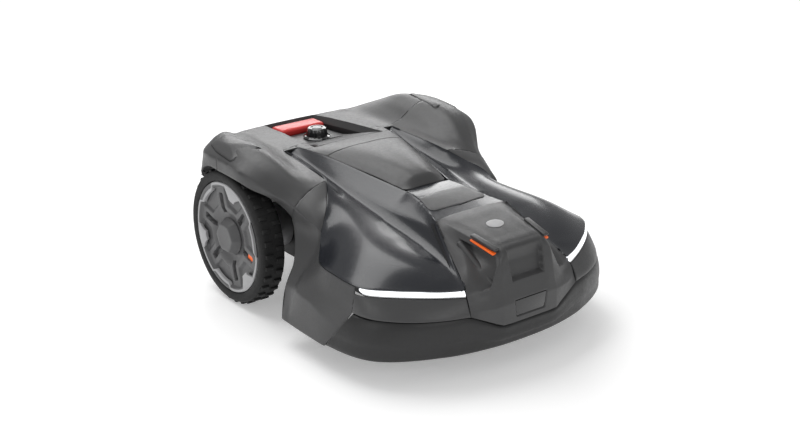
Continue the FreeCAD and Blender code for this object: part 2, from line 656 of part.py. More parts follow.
dial_z = tray_z + 6.3
knob = revolved("dial", [(9.3, 4), (9.3, 30), (17, 24), (20, 8), (27, 5), (27, 0), (6, 0), (6, -16), (0, -16),
                         (0, 4)])
finish(knob, "jog_dial", at(0, dial_y, dial_z))
push = revolved("dial_button", [(0, 6), (9, 6), (9, 23), (7, 25), (0, 25)])
finish(push, "dial_button", at(0, dial_y, dial_z))

# --------------------------------------------------------------------------- check and write
doc.recompute()
bad = []
for obj in doc.Objects:
    if any(word in obj.State for word in ("Invalid", "Error")):
        bad.append(f"{obj.Name} {obj.Label} {obj.State}")
for obj in PARTS:
    if obj.Shape.isNull() or not obj.Shape.isValid():
        bad.append(f"shape {obj.Label}")
if bad:
    raise RuntimeError("; ".join(bad))
os.makedirs("parts", exist_ok=True)
for obj in PARTS:
    obj.Shape.exportStep(f"parts/{obj.Label}.step")
    print(obj.Label, len(obj.Shape.Solids), round(obj.Shape.Volume))
print(len(PARTS), "parts")
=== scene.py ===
"""Looks of the robotic lawn mower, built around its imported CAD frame.

Sizes are written in millimetres and turned to metres when a mesh is made. The mower stands on Z 0,
faces -Y and is symmetric about X 0, so half outlines are given for X >= 0. A table named ..._rows
holds surface points (x, y, z); sheet() runs a smooth surface through them.
"""

import json
import math
from contextlib import contextmanager

import bmesh
import bpy
import numpy as np
from mathutils import Matrix, Vector
from mathutils.bvhtree import BVHTree


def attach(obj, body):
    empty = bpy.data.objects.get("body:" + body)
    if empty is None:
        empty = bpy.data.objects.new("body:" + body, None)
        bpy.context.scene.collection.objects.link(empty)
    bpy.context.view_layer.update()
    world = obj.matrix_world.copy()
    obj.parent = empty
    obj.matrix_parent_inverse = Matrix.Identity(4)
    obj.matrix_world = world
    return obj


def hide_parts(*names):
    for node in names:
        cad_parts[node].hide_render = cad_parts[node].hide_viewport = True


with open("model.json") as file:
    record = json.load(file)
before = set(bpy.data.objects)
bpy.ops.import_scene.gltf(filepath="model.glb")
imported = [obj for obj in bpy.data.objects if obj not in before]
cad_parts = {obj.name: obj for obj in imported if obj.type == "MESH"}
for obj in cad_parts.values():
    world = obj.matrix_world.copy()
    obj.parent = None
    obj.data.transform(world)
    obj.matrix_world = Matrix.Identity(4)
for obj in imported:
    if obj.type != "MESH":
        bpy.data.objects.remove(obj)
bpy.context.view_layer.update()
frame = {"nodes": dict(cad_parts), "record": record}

MM = 0.001
STEP = 4.0                          # spacing of a panel's surface points
SMOOTH_ANGLE = math.radians(38)     # edges sharper than this stay sharp in the shading
PANEL_ANGLE = 55                    # degrees; a panel's edges sharper than this are bevelled
AXLE_Y, AXLE_Z, WHEEL_INNER_X = 173, 130, 217   # drive wheel's centre and inner face
PLAIN = {"gap": 0, "rounds": 0, "bevel": 0}     # a panel as it was drawn, without seams or rounding

# ---- materials
DRIFT_SCALE, ROUGH_SCALE, GRAIN_SCALE = 22.0, 160.0, 2600.0     # noise scales, per metre
COAT_ROUGH = 0.04
GRAIN_HEIGHT = 0.0002               # metres


def node_setup(name):
    mat = bpy.data.materials.new(name)
    mat.use_nodes = True
    tree = mat.node_tree
    return mat, tree, tree.nodes["Principled BSDF"]


def put(node, values):
    """Sets a node's unlinked inputs."""
    for key, value in values.items():
        node.inputs[key].default_value = value


def noise(tree, scale, detail=4.0):
    """A noise texture over object coordinates."""
    coords = tree.nodes.new("ShaderNodeTexCoord")
    texture = tree.nodes.new("ShaderNodeTexNoise")
    put(texture, {"Scale": scale, "Detail": detail})
    tree.links.new(coords.outputs["Object"], texture.inputs["Vector"])
    return texture.outputs["Fac"]


def vary(tree, value, low, high):
    """Maps 0.3..0.7, where most of a noise's values lie, to low..high."""
    node = tree.nodes.new("ShaderNodeMapRange")
    put(node, {"From Min": 0.3, "From Max": 0.7, "To Min": low, "To Max": high})
    tree.links.new(value, node.inputs["Value"])
    return node.outputs["Result"]


def finish_material(name, color, rough, metal=0.0, grain=0.0, grain_scale=GRAIN_SCALE, tint=0.06,
                    coat=0.0, spread=0.05, glow=0.0):
    """Principled surface with procedural colour drift, roughness drift and fine grain."""
    mat, tree, shader = node_setup(name)
    blend = tree.nodes.new("ShaderNodeMix")
    blend.data_type = "RGBA"
    put(blend, {"A": (*[c * (1 - tint) for c in color], 1),
                "B": (*[min(1.0, c * (1 + tint)) for c in color], 1)})
    tree.links.new(noise(tree, DRIFT_SCALE), blend.inputs["Factor"])
    tree.links.new(blend.outputs["Result"], shader.inputs["Base Color"])
    roughness = vary(tree, noise(tree, ROUGH_SCALE), rough - spread, rough + spread)
    tree.links.new(roughness, shader.inputs["Roughness"])
    put(shader, {"Metallic": metal, "Coat Weight": coat, "Coat Roughness": COAT_ROUGH})
    if grain:
        bump = tree.nodes.new("ShaderNodeBump")
        put(bump, {"Strength": grain, "Distance": GRAIN_HEIGHT})
        tree.links.new(noise(tree, grain_scale, 2.0), bump.inputs["Height"])
        tree.links.new(bump.outputs["Normal"], shader.inputs["Normal"])
    if glow:
        put(shader, {"Emission Color": (*color, 1), "Emission Strength": glow})
    return mat


BODY = finish_material("satin_body_plastic", (0.05, 0.05, 0.051), 0.4, grain=0.3)
DARK = finish_material("dark_bumper_plastic", (0.012, 0.012, 0.0125), 0.45, grain=0.35)
HOOD = finish_material("gloss_hood_plastic", (0.017, 0.0185, 0.023), 0.24, coat=0.12,
                       spread=0.03)
PLATE = finish_material("satin_plate_plastic", (0.042, 0.042, 0.043), 0.38, grain=0.3)
BLACK = finish_material("black_plastic", (0.012, 0.012, 0.013), 0.5, grain=0.3)
PAD_GREY = finish_material("pad_plastic", (0.05, 0.05, 0.051), 0.38, grain=0.2)
LINER = finish_material("matte_liner_plastic", (0.02, 0.02, 0.021), 0.62, grain=0.3)
GLOSS_BLACK = finish_material("gloss_black_plastic", (0.012, 0.012, 0.013), 0.12, coat=0.5,
                              spread=0.02)
RUBBER = finish_material("tyre_rubber", (0.005, 0.005, 0.0052), 0.7, grain=0.6, grain_scale=1500)
SILVER = finish_material("silver_trim_paint", (0.36, 0.36, 0.365), 0.34, grain=0.15, tint=0.03)
DISC = finish_material("wheel_disc_plastic", (0.085, 0.085, 0.087), 0.42, grain=0.3)
RED = finish_material("red_button_plastic", (0.62, 0.035, 0.032), 0.33, grain=0.1, tint=0.04)
# The orange inserts are no lamps; their small emission is painted light that brightens them.
ORANGE = finish_material("orange_insert_painted_glow", (0.85, 0.13, 0.015), 0.35, grain=0.1, glow=0.25)
LAMP = finish_material("lamp_lens", (0.95, 0.97, 1.0), 0.25, tint=0.02, glow=1.0)
BEZEL = finish_material("bright_bezel", (0.5, 0.5, 0.5), 0.25, metal=0.6, spread=0.03)
STEEL = finish_material("brushed_steel", (0.55, 0.55, 0.55), 0.3, metal=1.0, grain=0.2,
                        grain_scale=900)
ALLOY = finish_material("cast_alloy", (0.5, 0.5, 0.51), 0.42, metal=0.9, grain=0.4,
                        grain_scale=700)
BRASS = finish_material("brass", (0.62, 0.43, 0.16), 0.3, metal=1.0, grain=0.1)
BOARD = finish_material("solder_mask", (0.02, 0.12, 0.04), 0.4, grain=0.5, grain_scale=500)
WRAP = finish_material("battery_wrap", (0.03, 0.06, 0.16), 0.35, grain=0.1)
CAD_LOOKS = {"black_plastic": BLACK, "rubber": RUBBER, "steel": STEEL, "motor_metal": ALLOY, "brass": BRASS,
             "board_green": BOARD, "battery_blue": WRAP, "body_plastic": BODY, "bumper_plastic": DARK,
             "hood_gloss": HOOD, "gloss_black": GLOSS_BLACK, "lamp": LAMP, "orange": ORANGE, "red": RED,
             "silver": SILVER, "tyre": RUBBER}


# ---- curves and surfaces
def chord(points):
    """Growing distance along a run of points, averaged over the rest of the array."""
    gaps = np.linalg.norm(np.diff(points, axis=0), axis=2).mean(axis=1)
    return np.concatenate([[0], np.cumsum(np.maximum(gaps, 1e-3))])


def run_through(points, sharp=(), step=None):
    """Smooth curve through rows of points (n, m, 3), sampled finely; sharp rows keep a corner."""
    points = np.asarray(points, float)
    t = chord(points)
    cuts = [0, *sorted(sharp), len(points) - 1]
    out = []
    for a, b in zip(cuts, cuts[1:]):
        p, h = points[a:b + 1], np.diff(t[a:b + 1])
        slope = np.diff(p, axis=0) / h[:, None, None]
        tangent = np.empty_like(p)
        if len(p) == 2:
            tangent[:] = slope[0]
        else:
            w0, w1 = h[1:, None, None], h[:-1, None, None]
            tangent[1:-1] = (slope[:-1] * w0 + slope[1:] * w1) / (w0 + w1)
            tangent[0] = 1.5 * slope[0] - 0.5 * tangent[1]
            tangent[-1] = 1.5 * slope[-1] - 0.5 * tangent[-2]
        for i, length in enumerate(h):
            count = max(1, int(round(length / (step or STEP))))
            for k in range(count):
                u = k / count
                out.append((2 * u**3 - 3 * u**2 + 1) * p[i] + (u**3 - 2 * u**2 + u) * length * tangent[i]
                           + (3 * u**2 - 2 * u**3) * p[i + 1] + (u**3 - u**2) * length * tangent[i + 1])
    out.append(points[-1])
    return np.array(out)


def sheet(rows, sharp_rows=(), sharp_cols=(), step=None):
    """Fine grid of points through a coarse grid of rows."""
    rows = np.array(rows, float)
    fine = run_through(rows, sharp_rows, step)
    return run_through(fine.transpose(1, 0, 2), sharp_cols, step).transpose(1, 0, 2)


def line(points, count):
    """count points spread evenly along a smooth curve."""
    fine = run_through(np.array(points, float)[:, None, :], (), 1.0)[:, 0]
    s = np.concatenate([[0], np.cumsum(np.linalg.norm(np.diff(fine, axis=0), axis=1))])
    want = np.linspace(0, s[-1], count)
    return np.stack([np.interp(want, s, fine[:, k]) for k in range(3)], axis=1)


def fair(rows, columns, degree, end_weight=30):
    """Replaces the given columns by smooth curves fitted along the rows; end rows keep their places."""
    grid = np.array(rows, float)
    t = chord(grid)
    t = t / t[-1]
    weight = np.ones(len(t))
    weight[[0, -1]] = end_weight
    for column in columns:
        for axis in range(3):
            curve = np.polynomial.Polynomial.fit(t, grid[:, column, axis], degree, w=weight)
            grid[:, column, axis] = curve(t)
    return grid


def ramp(distance, width):
    """0 outside, 1 once distance reaches width, with a smooth rise between."""
    u = min(1.0, max(0.0, distance / width))
    return u * u * (3 - 2 * u)


# ---- meshes
@contextmanager
def editing(obj):
    """Opens an object's mesh for bmesh work and writes the result back."""
    work = bmesh.new()
    work.from_mesh(obj.data)
    yield work
    work.to_mesh(obj.data)
    work.free()


def place(name, data):
    """Puts a new object with the given data in the scene."""
    obj = bpy.data.objects.new(name, data)
    bpy.context.scene.collection.objects.link(obj)
    return obj


def new_mesh(name, points, faces):
    """An object from points in millimetres."""
    mesh = bpy.data.meshes.new(name)
    mesh.from_pydata([tuple(np.asarray(p) * MM) for p in points], [], faces)
    return place(name, mesh)


def swept(name, loops, closed=True):
    """A surface through equally long loops of points, the last loop joined to the first.

    closed also joins the last point of each loop to its first.
    """
    m = len(loops[0])
    faces = []
    for i in range(len(loops)):
        a, b = i * m, (i + 1) % len(loops) * m
        faces += [(a + j, a + (j + 1) % m, b + (j + 1) % m, b + j) for j in range(m if closed else m - 1)]
    return new_mesh(name, [p for loop in loops for p in loop], faces)


def grids_object(name, grids, mirror=True):
    """One welded surface from several grids and, if wanted, their mirror images."""
    points, faces = [], []
    for grid in grids:
        n, m = grid.shape[:2]
        for flip in ((1, -1) if mirror else (1,)):
            start = len(points)
            points.extend(grid.reshape(-1, 3) * (flip, 1, 1))
            for a in (start + i * m + j for i in range(n - 1) for j in range(m - 1)):
                faces.append((a, a + 1, a + m + 1, a + m)[::flip])
    obj = new_mesh(name, points, faces)
    with editing(obj) as work:
        bmesh.ops.remove_doubles(work, verts=work.verts, dist=0.35 * MM)
        bmesh.ops.dissolve_degenerate(work, dist=0.05 * MM, edges=work.edges)
    return obj


def smooth_inside(obj, rounds, fixed=None):
    """Relaxes a surface's inner points so that creases turn into small radii."""
    with editing(obj) as work:
        inner = [v for v in work.verts if not v.is_boundary and not (fixed and fixed(v.co / MM))]
        for _ in range(rounds):
            bmesh.ops.smooth_vert(work, verts=inner, factor=0.5, use_axis_x=True, use_axis_y=True,
                                  use_axis_z=True)


def orient_out(obj, middle=(0, 0, 90)):
    """Turns a surface's normals away from a point inside it."""
    with editing(obj) as work:
        bmesh.ops.recalc_face_normals(work, faces=work.faces)
        total = sum((f.calc_center_median() / MM - Vector(middle)).dot(f.normal) * f.calc_area()
                    for f in work.faces)
        if total < 0:
            bmesh.ops.reverse_faces(work, faces=work.faces)
    obj.data.update()


def fix_normals(obj, weld=0):
    """Makes a closed piece's normals point outwards, after merging points closer than weld."""
    with editing(obj) as work:
        if weld:
            bmesh.ops.remove_doubles(work, verts=work.verts, dist=weld * MM)
        bmesh.ops.recalc_face_normals(work, faces=work.faces)


def pull_in(obj, gap):
    """Draws a surface's free edges in by gap, which leaves a seam beside the next panel."""
    def inward(v, edges):
        return sum(((e.other_vert(v).co - v.co).normalized() for e in edges), Vector((0, 0, 0)))

    tiny = 1e-6
    with editing(obj) as work:
        moves = {}
        for v in (v for v in work.verts if v.is_boundary):
            way = inward(v, [e for e in v.link_edges if not e.is_boundary])
            if way.length < tiny:
                way = inward(v, v.link_edges)
            if way.length > tiny:
                moves[v] = way.normalized() * gap * MM
        for v, move in moves.items():
            v.co += move


def apply_modifiers(obj):
    """Turns the modified mesh into the object's own mesh."""
    graph = bpy.context.evaluated_depsgraph_get()
    mesh = bpy.data.meshes.new_from_object(obj.evaluated_get(graph))
    obj.modifiers.clear()
    obj.data = mesh


def thicken(obj, thick):
    """Gives a surface its thickness, on the side its normals point away from."""
    solid = obj.modifiers.new("thickness", "SOLIDIFY")
    solid.thickness = thick * MM
    solid.offset = -1
    apply_modifiers(obj)


def smooth_shade(obj):
    obj.data.shade_smooth()
    obj.data.set_sharp_from_angle(angle=SMOOTH_ANGLE)


def soft_edges(obj, width, segments=2, angle=40):
    """Bevels the edges sharper than angle degrees and sets smooth shading."""
    if width:
        bevel = obj.modifiers.new("bevel", "BEVEL")
        bevel.width = width * MM
        bevel.segments = segments
        bevel.limit_method = "ANGLE"
        bevel.angle_limit = math.radians(angle)
        apply_modifiers(obj)
    smooth_shade(obj)


def join(objs, name):
    """Joins objects into one piece."""
    work = bmesh.new()
    for obj in objs:
        work.from_mesh(obj.data)
    mesh = bpy.data.meshes.new(name)
    work.to_mesh(mesh)
    work.free()
    for obj in objs:
        bpy.data.objects.remove(obj)
    joined = place(name, mesh)
    smooth_shade(joined)
    return joined


def dress(obj, material, body="shell", replaces=None):
    """Gives a piece its material, the body it moves with and the CAD node it stands for."""
    obj.data.materials.clear()
    obj.data.materials.append(material)
    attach(obj, body)
    if replaces:
        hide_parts(replaces)


def panel(name, grids, material, thick=2.6, gap=0.6, rounds=2, bevel=0.7, shape=None, replaces=None):
    """A body panel and its mirror image: welded, relaxed, drawn in at its seams, thickened, rounded."""
    obj = grids_object(name, grids)
    orient_out(obj)
    smooth_inside(obj, rounds)
    if shape:
        shape(obj)
    pull_in(obj, gap)
    thicken(obj, thick)
    soft_edges(obj, bevel, angle=PANEL_ANGLE)
    dress(obj, material, replaces=replaces)


def corner_rounded(points, radius, steps=5):
    """Rounds the corners of a closed plan polygon."""
    out = []
    for i, p in enumerate(points):
        a, b = np.array(points[i - 1], float), np.array(points[(i + 1) % len(points)], float)
        p = np.array(p, float)
        da, db = (a - p) / np.linalg.norm(a - p), (b - p) / np.linalg.norm(b - p)
        start, end = p + da * radius, p + db * radius
        for u in (k / steps for k in range(steps + 1)):
            out.append((1 - u) ** 2 * start + 2 * u * (1 - u) * p + u * u * end)
    return out


def flat_patch(name, outline, height_at, thick, material, bevel=0.6, replaces=None, levels=6):
    """A thin plate with a plan outline that follows height_at(x, y), meshed in rings from its middle."""
    mid = np.mean(np.array(outline), axis=0)
    points = [(*mid, height_at(*mid))]
    for k in range(1, levels + 1):
        for p in outline:
            q = mid + (np.array(p) - mid) * k / levels
            points.append((q[0], q[1], height_at(*q)))
    n = len(outline)
    faces = [(0, 1 + i, 1 + (i + 1) % n) for i in range(n)]
    for k in range(levels - 1):
        a, b = 1 + k * n, 1 + (k + 1) * n
        faces += [(a + i, b + i, b + (i + 1) % n, a + (i + 1) % n) for i in range(n)]
    obj = new_mesh(name, points, faces)
    orient_out(obj)
    thicken(obj, thick)
    soft_edges(obj, bevel, angle=PANEL_ANGLE)
    dress(obj, material, replaces=replaces)


def surface_height(obj_name, missed=240.0):
    """A function that gives the height of a piece's upper surface at a plan point, in millimetres."""
    mesh = bpy.data.objects[obj_name].data
    tree = BVHTree.FromPolygons([v.co.copy() for v in mesh.vertices],
                                [tuple(p.vertices) for p in mesh.polygons])
    sky = 0.5       # metres, above the whole mower

    def height(x, y):
        hit = tree.ray_cast(Vector((x * MM, y * MM, sky)), Vector((0, 0, -1)))
        return hit[0].z / MM if hit[0] else missed
    return height


# ---- front hood
SEAM = [(127, 186, 266), (134, 100, 261), (140, 28, 256), (160, -2, 240), (185, -32, 222), (205, -46, 195),
        (218, -60, 171), (231, -76, 161), (247, -112, 163), (256, -155, 167), (259, -200, 168)]
LAMP_LINE = [(258, -220, 168), (250, -237, 168), (235, -255, 168), (218, -272, 168), (197, -289, 168),
             (160, -312, 164), (114, -332, 162)]
# Rows run from the rear to the front tip, columns from the raised centre out to the seam.
hood_rows = [
    [(101, 177, 271), (108, 179, 268), (115, 181, 263), (119, 183, 263), (122, 184, 264), (125, 185, 265),
     SEAM[0]],
    [(87, 102, 271), (109, 99, 250), (116, 98, 247.5), (120, 99, 250), (125, 99, 255), (130, 100, 259),
     SEAM[1]],
    [(74, 35, 264), (104, 32, 243), (113, 30, 239), (119, 29, 241), (126, 28, 247), (133, 28, 253), SEAM[2]],
    [(66, 0, 259), (101, -4, 239), (114, -7, 231), (125, -9, 231), (138, -8, 235), (150, -5, 239), SEAM[3]],
    [(59, -35, 255), (98, -37, 236), (114, -43, 224), (132, -48, 221), (151, -48, 223), (169, -41, 223),
     SEAM[4]],
    [(54, -60, 252), (96, -63, 233), (115, -74, 217), (142, -84, 218), (168, -82, 217), (190, -66, 208),
     SEAM[5]],
    [(49, -88, 249), (93, -93, 230), (116, -104, 212), (149, -114, 218), (182, -108, 217), (209, -86, 194),
     SEAM[6]],
    [(51, -108, 249), (90, -121, 227.5), (115, -135, 208), (154, -142, 219), (192, -134, 217),
     (222, -106, 194), SEAM[7]],
    [(55, -134, 247), (88, -148, 225), (114, -163, 204), (157, -170, 217), (199, -163, 214),
     (234, -137, 190), SEAM[8]],
    [(62, -158, 243.5), (86, -171, 223.5), (112, -190, 201), (157, -198, 213), (200, -192, 210),
     (238, -172, 188), SEAM[9]],
    [(69, -181, 239.5), (85, -193, 222), (111, -216, 196), (153, -227, 206), (196, -220, 204),
     (238, -204, 185), SEAM[10]],
    [(79, -209, 236), (88, -220, 221), (110, -243, 190), (146, -254, 197), (187, -249, 195),
     (225, -237, 181), LAMP_LINE[1]],
    [(85.5, -232, 222), (93, -244, 208), (111, -266, 185), (139, -277, 188), (173, -276, 185),
     (202, -269, 176), LAMP_LINE[3]],
    [(96, -268, 200), (101, -277, 192), (112, -290, 181), (132, -297, 179), (153, -299, 175),
     (172, -298, 170), (186, -296, 167)],
    [(104, -298, 182), (108, -304, 178), (114, -311, 174), (124, -315, 172), (134, -316, 169),
     (143, -317, 166), (151, -316.5, 163.5)],
    [(112.5, -327, 165.5), (113.2, -328.2, 165), (113.8, -329.4, 164.5), (114.5, -330.4, 164),
     (115.4, -331, 163.5), (116.6, -331.2, 163), (118.4, -330.6, 162.4)],
]
hood_rows = fair(hood_rows, (1, 2, 3, 4, 5), 6)
# The strip under the name plate, from the centre plane to the hood's first column, slightly crowned.
bridge_rows = [[(0, y - 1 if y > -205 else y, z + crown), (x * 0.5, y, z + crown * 0.8), (x, y, z)]
               for (x, y, z), crown in zip(hood_rows[6:12, 0], (0.0, 0.5, 1.5, 2.2, 2.8, 3.0))]
bridge_rows[0] = [(0, -84.5, 249), (24, -85.5, 249), (49, -88, 249)]


def relax_dome(obj):
    """Evens out the dome outside the valley beside the raised centre."""
    valley_x, tip_y = 113, -300
    smooth_inside(obj, 90, fixed=lambda p: abs(p.x) < valley_x or p.y < tip_y)
    smooth_inside(obj, 8, fixed=lambda p: abs(p.x) < valley_x - 2)


panel("front_hood_shell", [sheet(hood_rows, sharp_cols=(1,)), sheet(bridge_rows)], HOOD, rounds=0,
      shape=relax_dome, replaces="front_hood")

# ---- hatch and name plate
hatch_rows = [
    [(0, 95, 282), (40, 96.5, 281), (74, 100.5, 275.5), (87, 102, 271)],
    [(0, 40, 281), (34, 40, 279.5), (61, 40, 272.5), (75.3, 40, 264)],
    [(0, -20, 275.5), (27, -20, 274), (48, -20, 266.5), (62, -20, 257.5)],
    [(0, -55, 269.5), (22, -55, 268), (40, -55, 260.5), (54.7, -55, 252.5)],
    [(0, -70, 265), (21, -70, 263.5), (36, -70, 257), (51.6, -70, 250.8)],
    [(0, -84.5, 249), (20, -85.2, 249), (34, -86.3, 249), (48, -88, 249)],
]


def round_hatch_corner(obj):
    """Draws the two front corners of the hatch back, which rounds them in plan."""
    corner_x, reach_x, corner_y, reach_y, back = 26, 24, -60, 26, 13
    for v in obj.data.vertices:
        x, y, _ = v.co / MM
        over = (abs(x) - corner_x) / reach_x
        if y < corner_y and over > 0:
            v.co.y += min(1.0, over) ** 3 * back * MM * min(1.0, (corner_y - y) / reach_y)


panel("hatch_cover", [sheet(hatch_rows, sharp_rows=(4,), sharp_cols=(2,))], BODY,
      shape=round_hatch_corner, replaces="central_hatch")

hood_height = surface_height("front_hood_shell")
plate_outline = corner_rounded([(51.5, -128), (62.5, -170), (56, -179), (0, -184), (-56, -179),
                                (-62.5, -170), (-51.5, -128), (0, -126)], 4)
flat_patch("blank_name_plate", plate_outline, lambda x, y: hood_height(x, y) + 1.0, 1.6, PLATE,
           replaces="hood_plate")

# ---- body shell
# Neighbouring tables share their edge rows, so that their surfaces weld into one.
deck_rows = [
    hatch_rows[0],
    [(0, 125, 279.5), (43, 125, 278.5), (76, 125, 275), (92, 128, 271.2)],
    [(0, 152, 275.5), (43, 152, 274.8), (80, 152, 273), (97, 156, 271.2)],
]
strip_rows = [
    [(80, 152, 273), (88, 153.5, 272.3), (97, 156, 271.2)],
    [(78, 172, 272), (89, 174.5, 271.7), (101, 177, 271)],
]
# Rows run from the control opening's front to the rear edge and down the rear face.
rear_rows = [
    [(76.5, 190, 271), (89, 190, 270.5), (102, 190, 269.5), (114.5, 190, 268), (127, 190.5, 267),
     (151, 190, 275), (178, 191, 291), (212, 192, 303), (245, 192, 300), (271, 190, 281), (270, 190, 257)],
    [(73, 230, 269), (88, 230, 268.5), (103, 230, 267.5), (116, 230, 267), (130, 231, 268), (155, 231, 278),
     (182, 232, 292.5), (211, 234, 303), (241, 235, 299), (270, 232, 281), (269.5, 226, 256)],
    [(70.5, 255, 267.5), (87, 255, 267), (103, 256, 266.3), (118, 257, 266.5), (132, 258, 268),
     (157, 259, 278.5), (184, 257, 292), (209, 253, 302), (234, 256, 296), (263, 256, 277),
     (268.5, 248, 246)],
    [(68, 275, 266.5), (85, 276, 266), (103, 278, 265.5), (118, 280, 265.8), (133, 282, 267.5),
     (157, 283, 277), (184, 276, 290), (207, 267, 299), (230, 264, 293), (253, 265, 277), (265, 259, 238)],
    [(63.5, 325, 262.5), (82, 325, 262.5), (103, 325, 263), (118, 323, 264), (133, 321, 266.5),
     (157, 311, 274), (183, 296, 284), (205, 281, 293), (227, 276, 289), (248, 271, 274), (262, 263, 236)],
    [(59, 366, 257.5), (80, 362, 259), (103, 355, 261), (118, 348, 263.5), (133, 341, 266.5),
     (157, 327, 273.5), (182, 312, 281), (204, 296, 287), (226, 285, 283), (246, 276, 270), (261, 265, 235)],
    [(60, 372, 255), (81, 368, 256.5), (104, 361, 258.5), (119, 354.5, 260.5), (134, 347.5, 263),
     (158, 333, 269.5), (183, 318, 276.5), (205, 301.5, 281), (227, 289, 277), (246.5, 279, 266),
     (260.5, 267, 234)],
    [(60, 376.5, 232), (81.5, 373, 232), (105, 366, 232), (120, 359.5, 232), (135, 352, 232.5),
     (159, 338, 234), (184, 323, 236), (206, 306, 239), (227, 293, 243), (246, 282, 246), (260, 269, 233)],
    [(60, 376, 175), (81.5, 372, 175), (106, 365, 175), (121, 358, 175), (136, 351, 176), (160, 337, 180),
     (185, 322, 192), (205, 306, 205), (225, 293, 215), (244, 282, 221), (259, 270, 228)],
    [(60, 373, 106), (81, 369, 106), (105, 361, 107), (120, 354, 108), (135, 346, 111), (158, 333, 128),
     (183, 319, 160), (203, 304, 188), (223, 292, 202), (242, 282, 212), (258, 271, 224)],
]
tip_rows = [strip_rows[1], rear_rows[0][:3]]
tip_end = [[(101, 177, 271), (114, 181.5, 268.5), (127, 186, 266)], rear_rows[0][2:5]]
tail_rows = [
    [(0, 366, 258), (30, 366, 258), (59, 366, 257.5)],
    [(0, 373, 255.5), (30, 373, 255.5), (60, 372, 255)],
    [(0, 377.5, 232), (30, 377.3, 232), (60, 376.5, 232)],
    [(0, 377, 175), (30, 376.7, 175), (60, 376, 175)],
    [(0, 374, 106), (30, 373.7, 106), (60, 373, 106)],
]
# Rows run from the fender's top to its front, columns from the hood's seam to the wheel arch.
fender_rows = [
    rear_rows[0][4:],
    [(127, 186, 266), (151, 185, 274.5), (178, 185, 290.5), (212, 186, 303), (245, 186, 300),
     (271.5, 185, 281), (270, 185, 257)],
    [(130, 150, 263.8), (152, 150, 270), (178, 150, 286), (211, 150, 302), (245, 149, 298), (272, 148, 280),
     (270.5, 150, 257)],
    [(133.4, 110, 261.5), (153, 110, 265), (178, 110, 278.5), (209, 110, 294), (242, 110, 290),
     (269, 110, 274.5), (269, 110, 254.5)],
    [(135.8, 85, 260), (154, 85, 262), (178, 85, 271.5), (206, 85, 283), (236, 84, 277.5), (260, 84, 263),
     (260, 86, 246.5)],
    [(137.6, 62, 258.5), (155, 62, 259), (178, 61, 264), (202, 60, 270.5), (226, 59, 264), (245, 60, 249),
     (242, 65, 236)],
    [(139, 44, 257), (155, 43, 256.5), (176, 42, 257.5), (198, 40, 257.5), (215, 39, 249), (230, 40, 236),
     (226, 48, 221)],
    [(140, 28, 256), (154, 26, 254.5), (170, 23, 251), (188, 19, 245.5), (206, 15, 237), (220, 13, 226.5),
     (217, 27, 203)],
]
sliver_rows = [
    fender_rows[-1][:6],
    [(160, -2, 240), (170, -4, 238), (181, -6, 235.5), (192, -9, 231), (203, -13, 224), (213, -18, 211.5)],
    [(185, -32, 222), (189, -33, 219), (193, -34.5, 215.5), (198, -36.5, 211), (203, -38.5, 206.5),
     (208, -41, 200)],
    [(204.4, -45.6, 196), (204.6, -45.7, 195.8), (204.8, -45.8, 195.6), (205, -45.9, 195.4),
     (205.2, -46, 195.2), (205.4, -46.1, 195)],
]
# Rows run towards the front, columns from the hood's seam down to the lower edge.
quarter_rows = [
    [(220, 13, 226.5), (217, 27, 203), (216, 24, 187), (221, 13, 164), (237, -6, 136), (262, -17, 103),
     (285, -36, 48)],
    [(213, -18, 211.5), (209, -11, 193), (211, -9, 176), (221, -13, 155), (238, -22, 133), (263, -30, 104),
     (286, -44, 48)],
    [(205.4, -46.1, 195), (207, -44, 180), (214, -43, 164), (226, -43, 147), (243, -44, 129),
     (266, -47, 106), (286.5, -56, 48)],
    [(218, -60, 171), (222, -60, 161), (230, -60, 150), (241, -60, 138), (256, -61, 125), (273, -64, 108),
     (287, -68, 48)],
    [(231, -76, 161), (236, -76, 153), (243, -76, 144), (252, -76, 134), (264, -78, 123), (277, -81, 108),
     (287.5, -84, 48)],
    [(247, -112, 163), (251, -112, 155), (256, -112, 146), (262.5, -113, 136), (271, -114, 124),
     (280, -116, 108), (288, -117, 48)],
    [(256, -155, 167), (260, -155, 158), (264, -155, 148), (268.5, -155, 136), (274, -155, 122),
     (281.5, -153, 100), (288, -140, 48)],
    [(259, -200, 168), (262, -200, 157), (264.5, -200, 147), (267, -200, 136), (270, -199, 123),
     (278.5, -185, 92), (288, -158, 48)],
    [(258, -220, 168), (260, -221, 156), (262, -221.5, 147), (263.5, -221.5, 136), (265, -220, 123),
     (275, -199, 88), (287.5, -169, 48)],
]
BELT_TOP = [(260, -221, 156), (251, -240.5, 156), (236.5, -259, 156), (219, -276, 156), (198, -293, 155.5),
            (161, -317, 153.5), (118.5, -339, 151.5)]
BELT_LOW = [(265, -220, 123), (262, -242, 122.5), (252.5, -265, 122), (236, -287, 122), (212, -310, 122),
            (170, -336, 122), (119.2, -353, 121.5)]
BELT_OUT = np.array((0.55, -0.83, 0))
BELT_PROFILE = ((0, -0.3), (0.3, 1.8), (0.65, 2.2), (0.93, 0.8), (1, -0.4))     # way down, push out
belt_rows = [[np.array(a) + (np.array(b) - np.array(a)) * f + BELT_OUT * o for f, o in BELT_PROFILE]
             for a, b in zip(BELT_TOP, BELT_LOW)]
belt_rows[0] = [(260, -221, 156), (262, -221.5, 147), (263.5, -221.5, 136), (264.7, -220.6, 126),
                (265, -220, 123)]

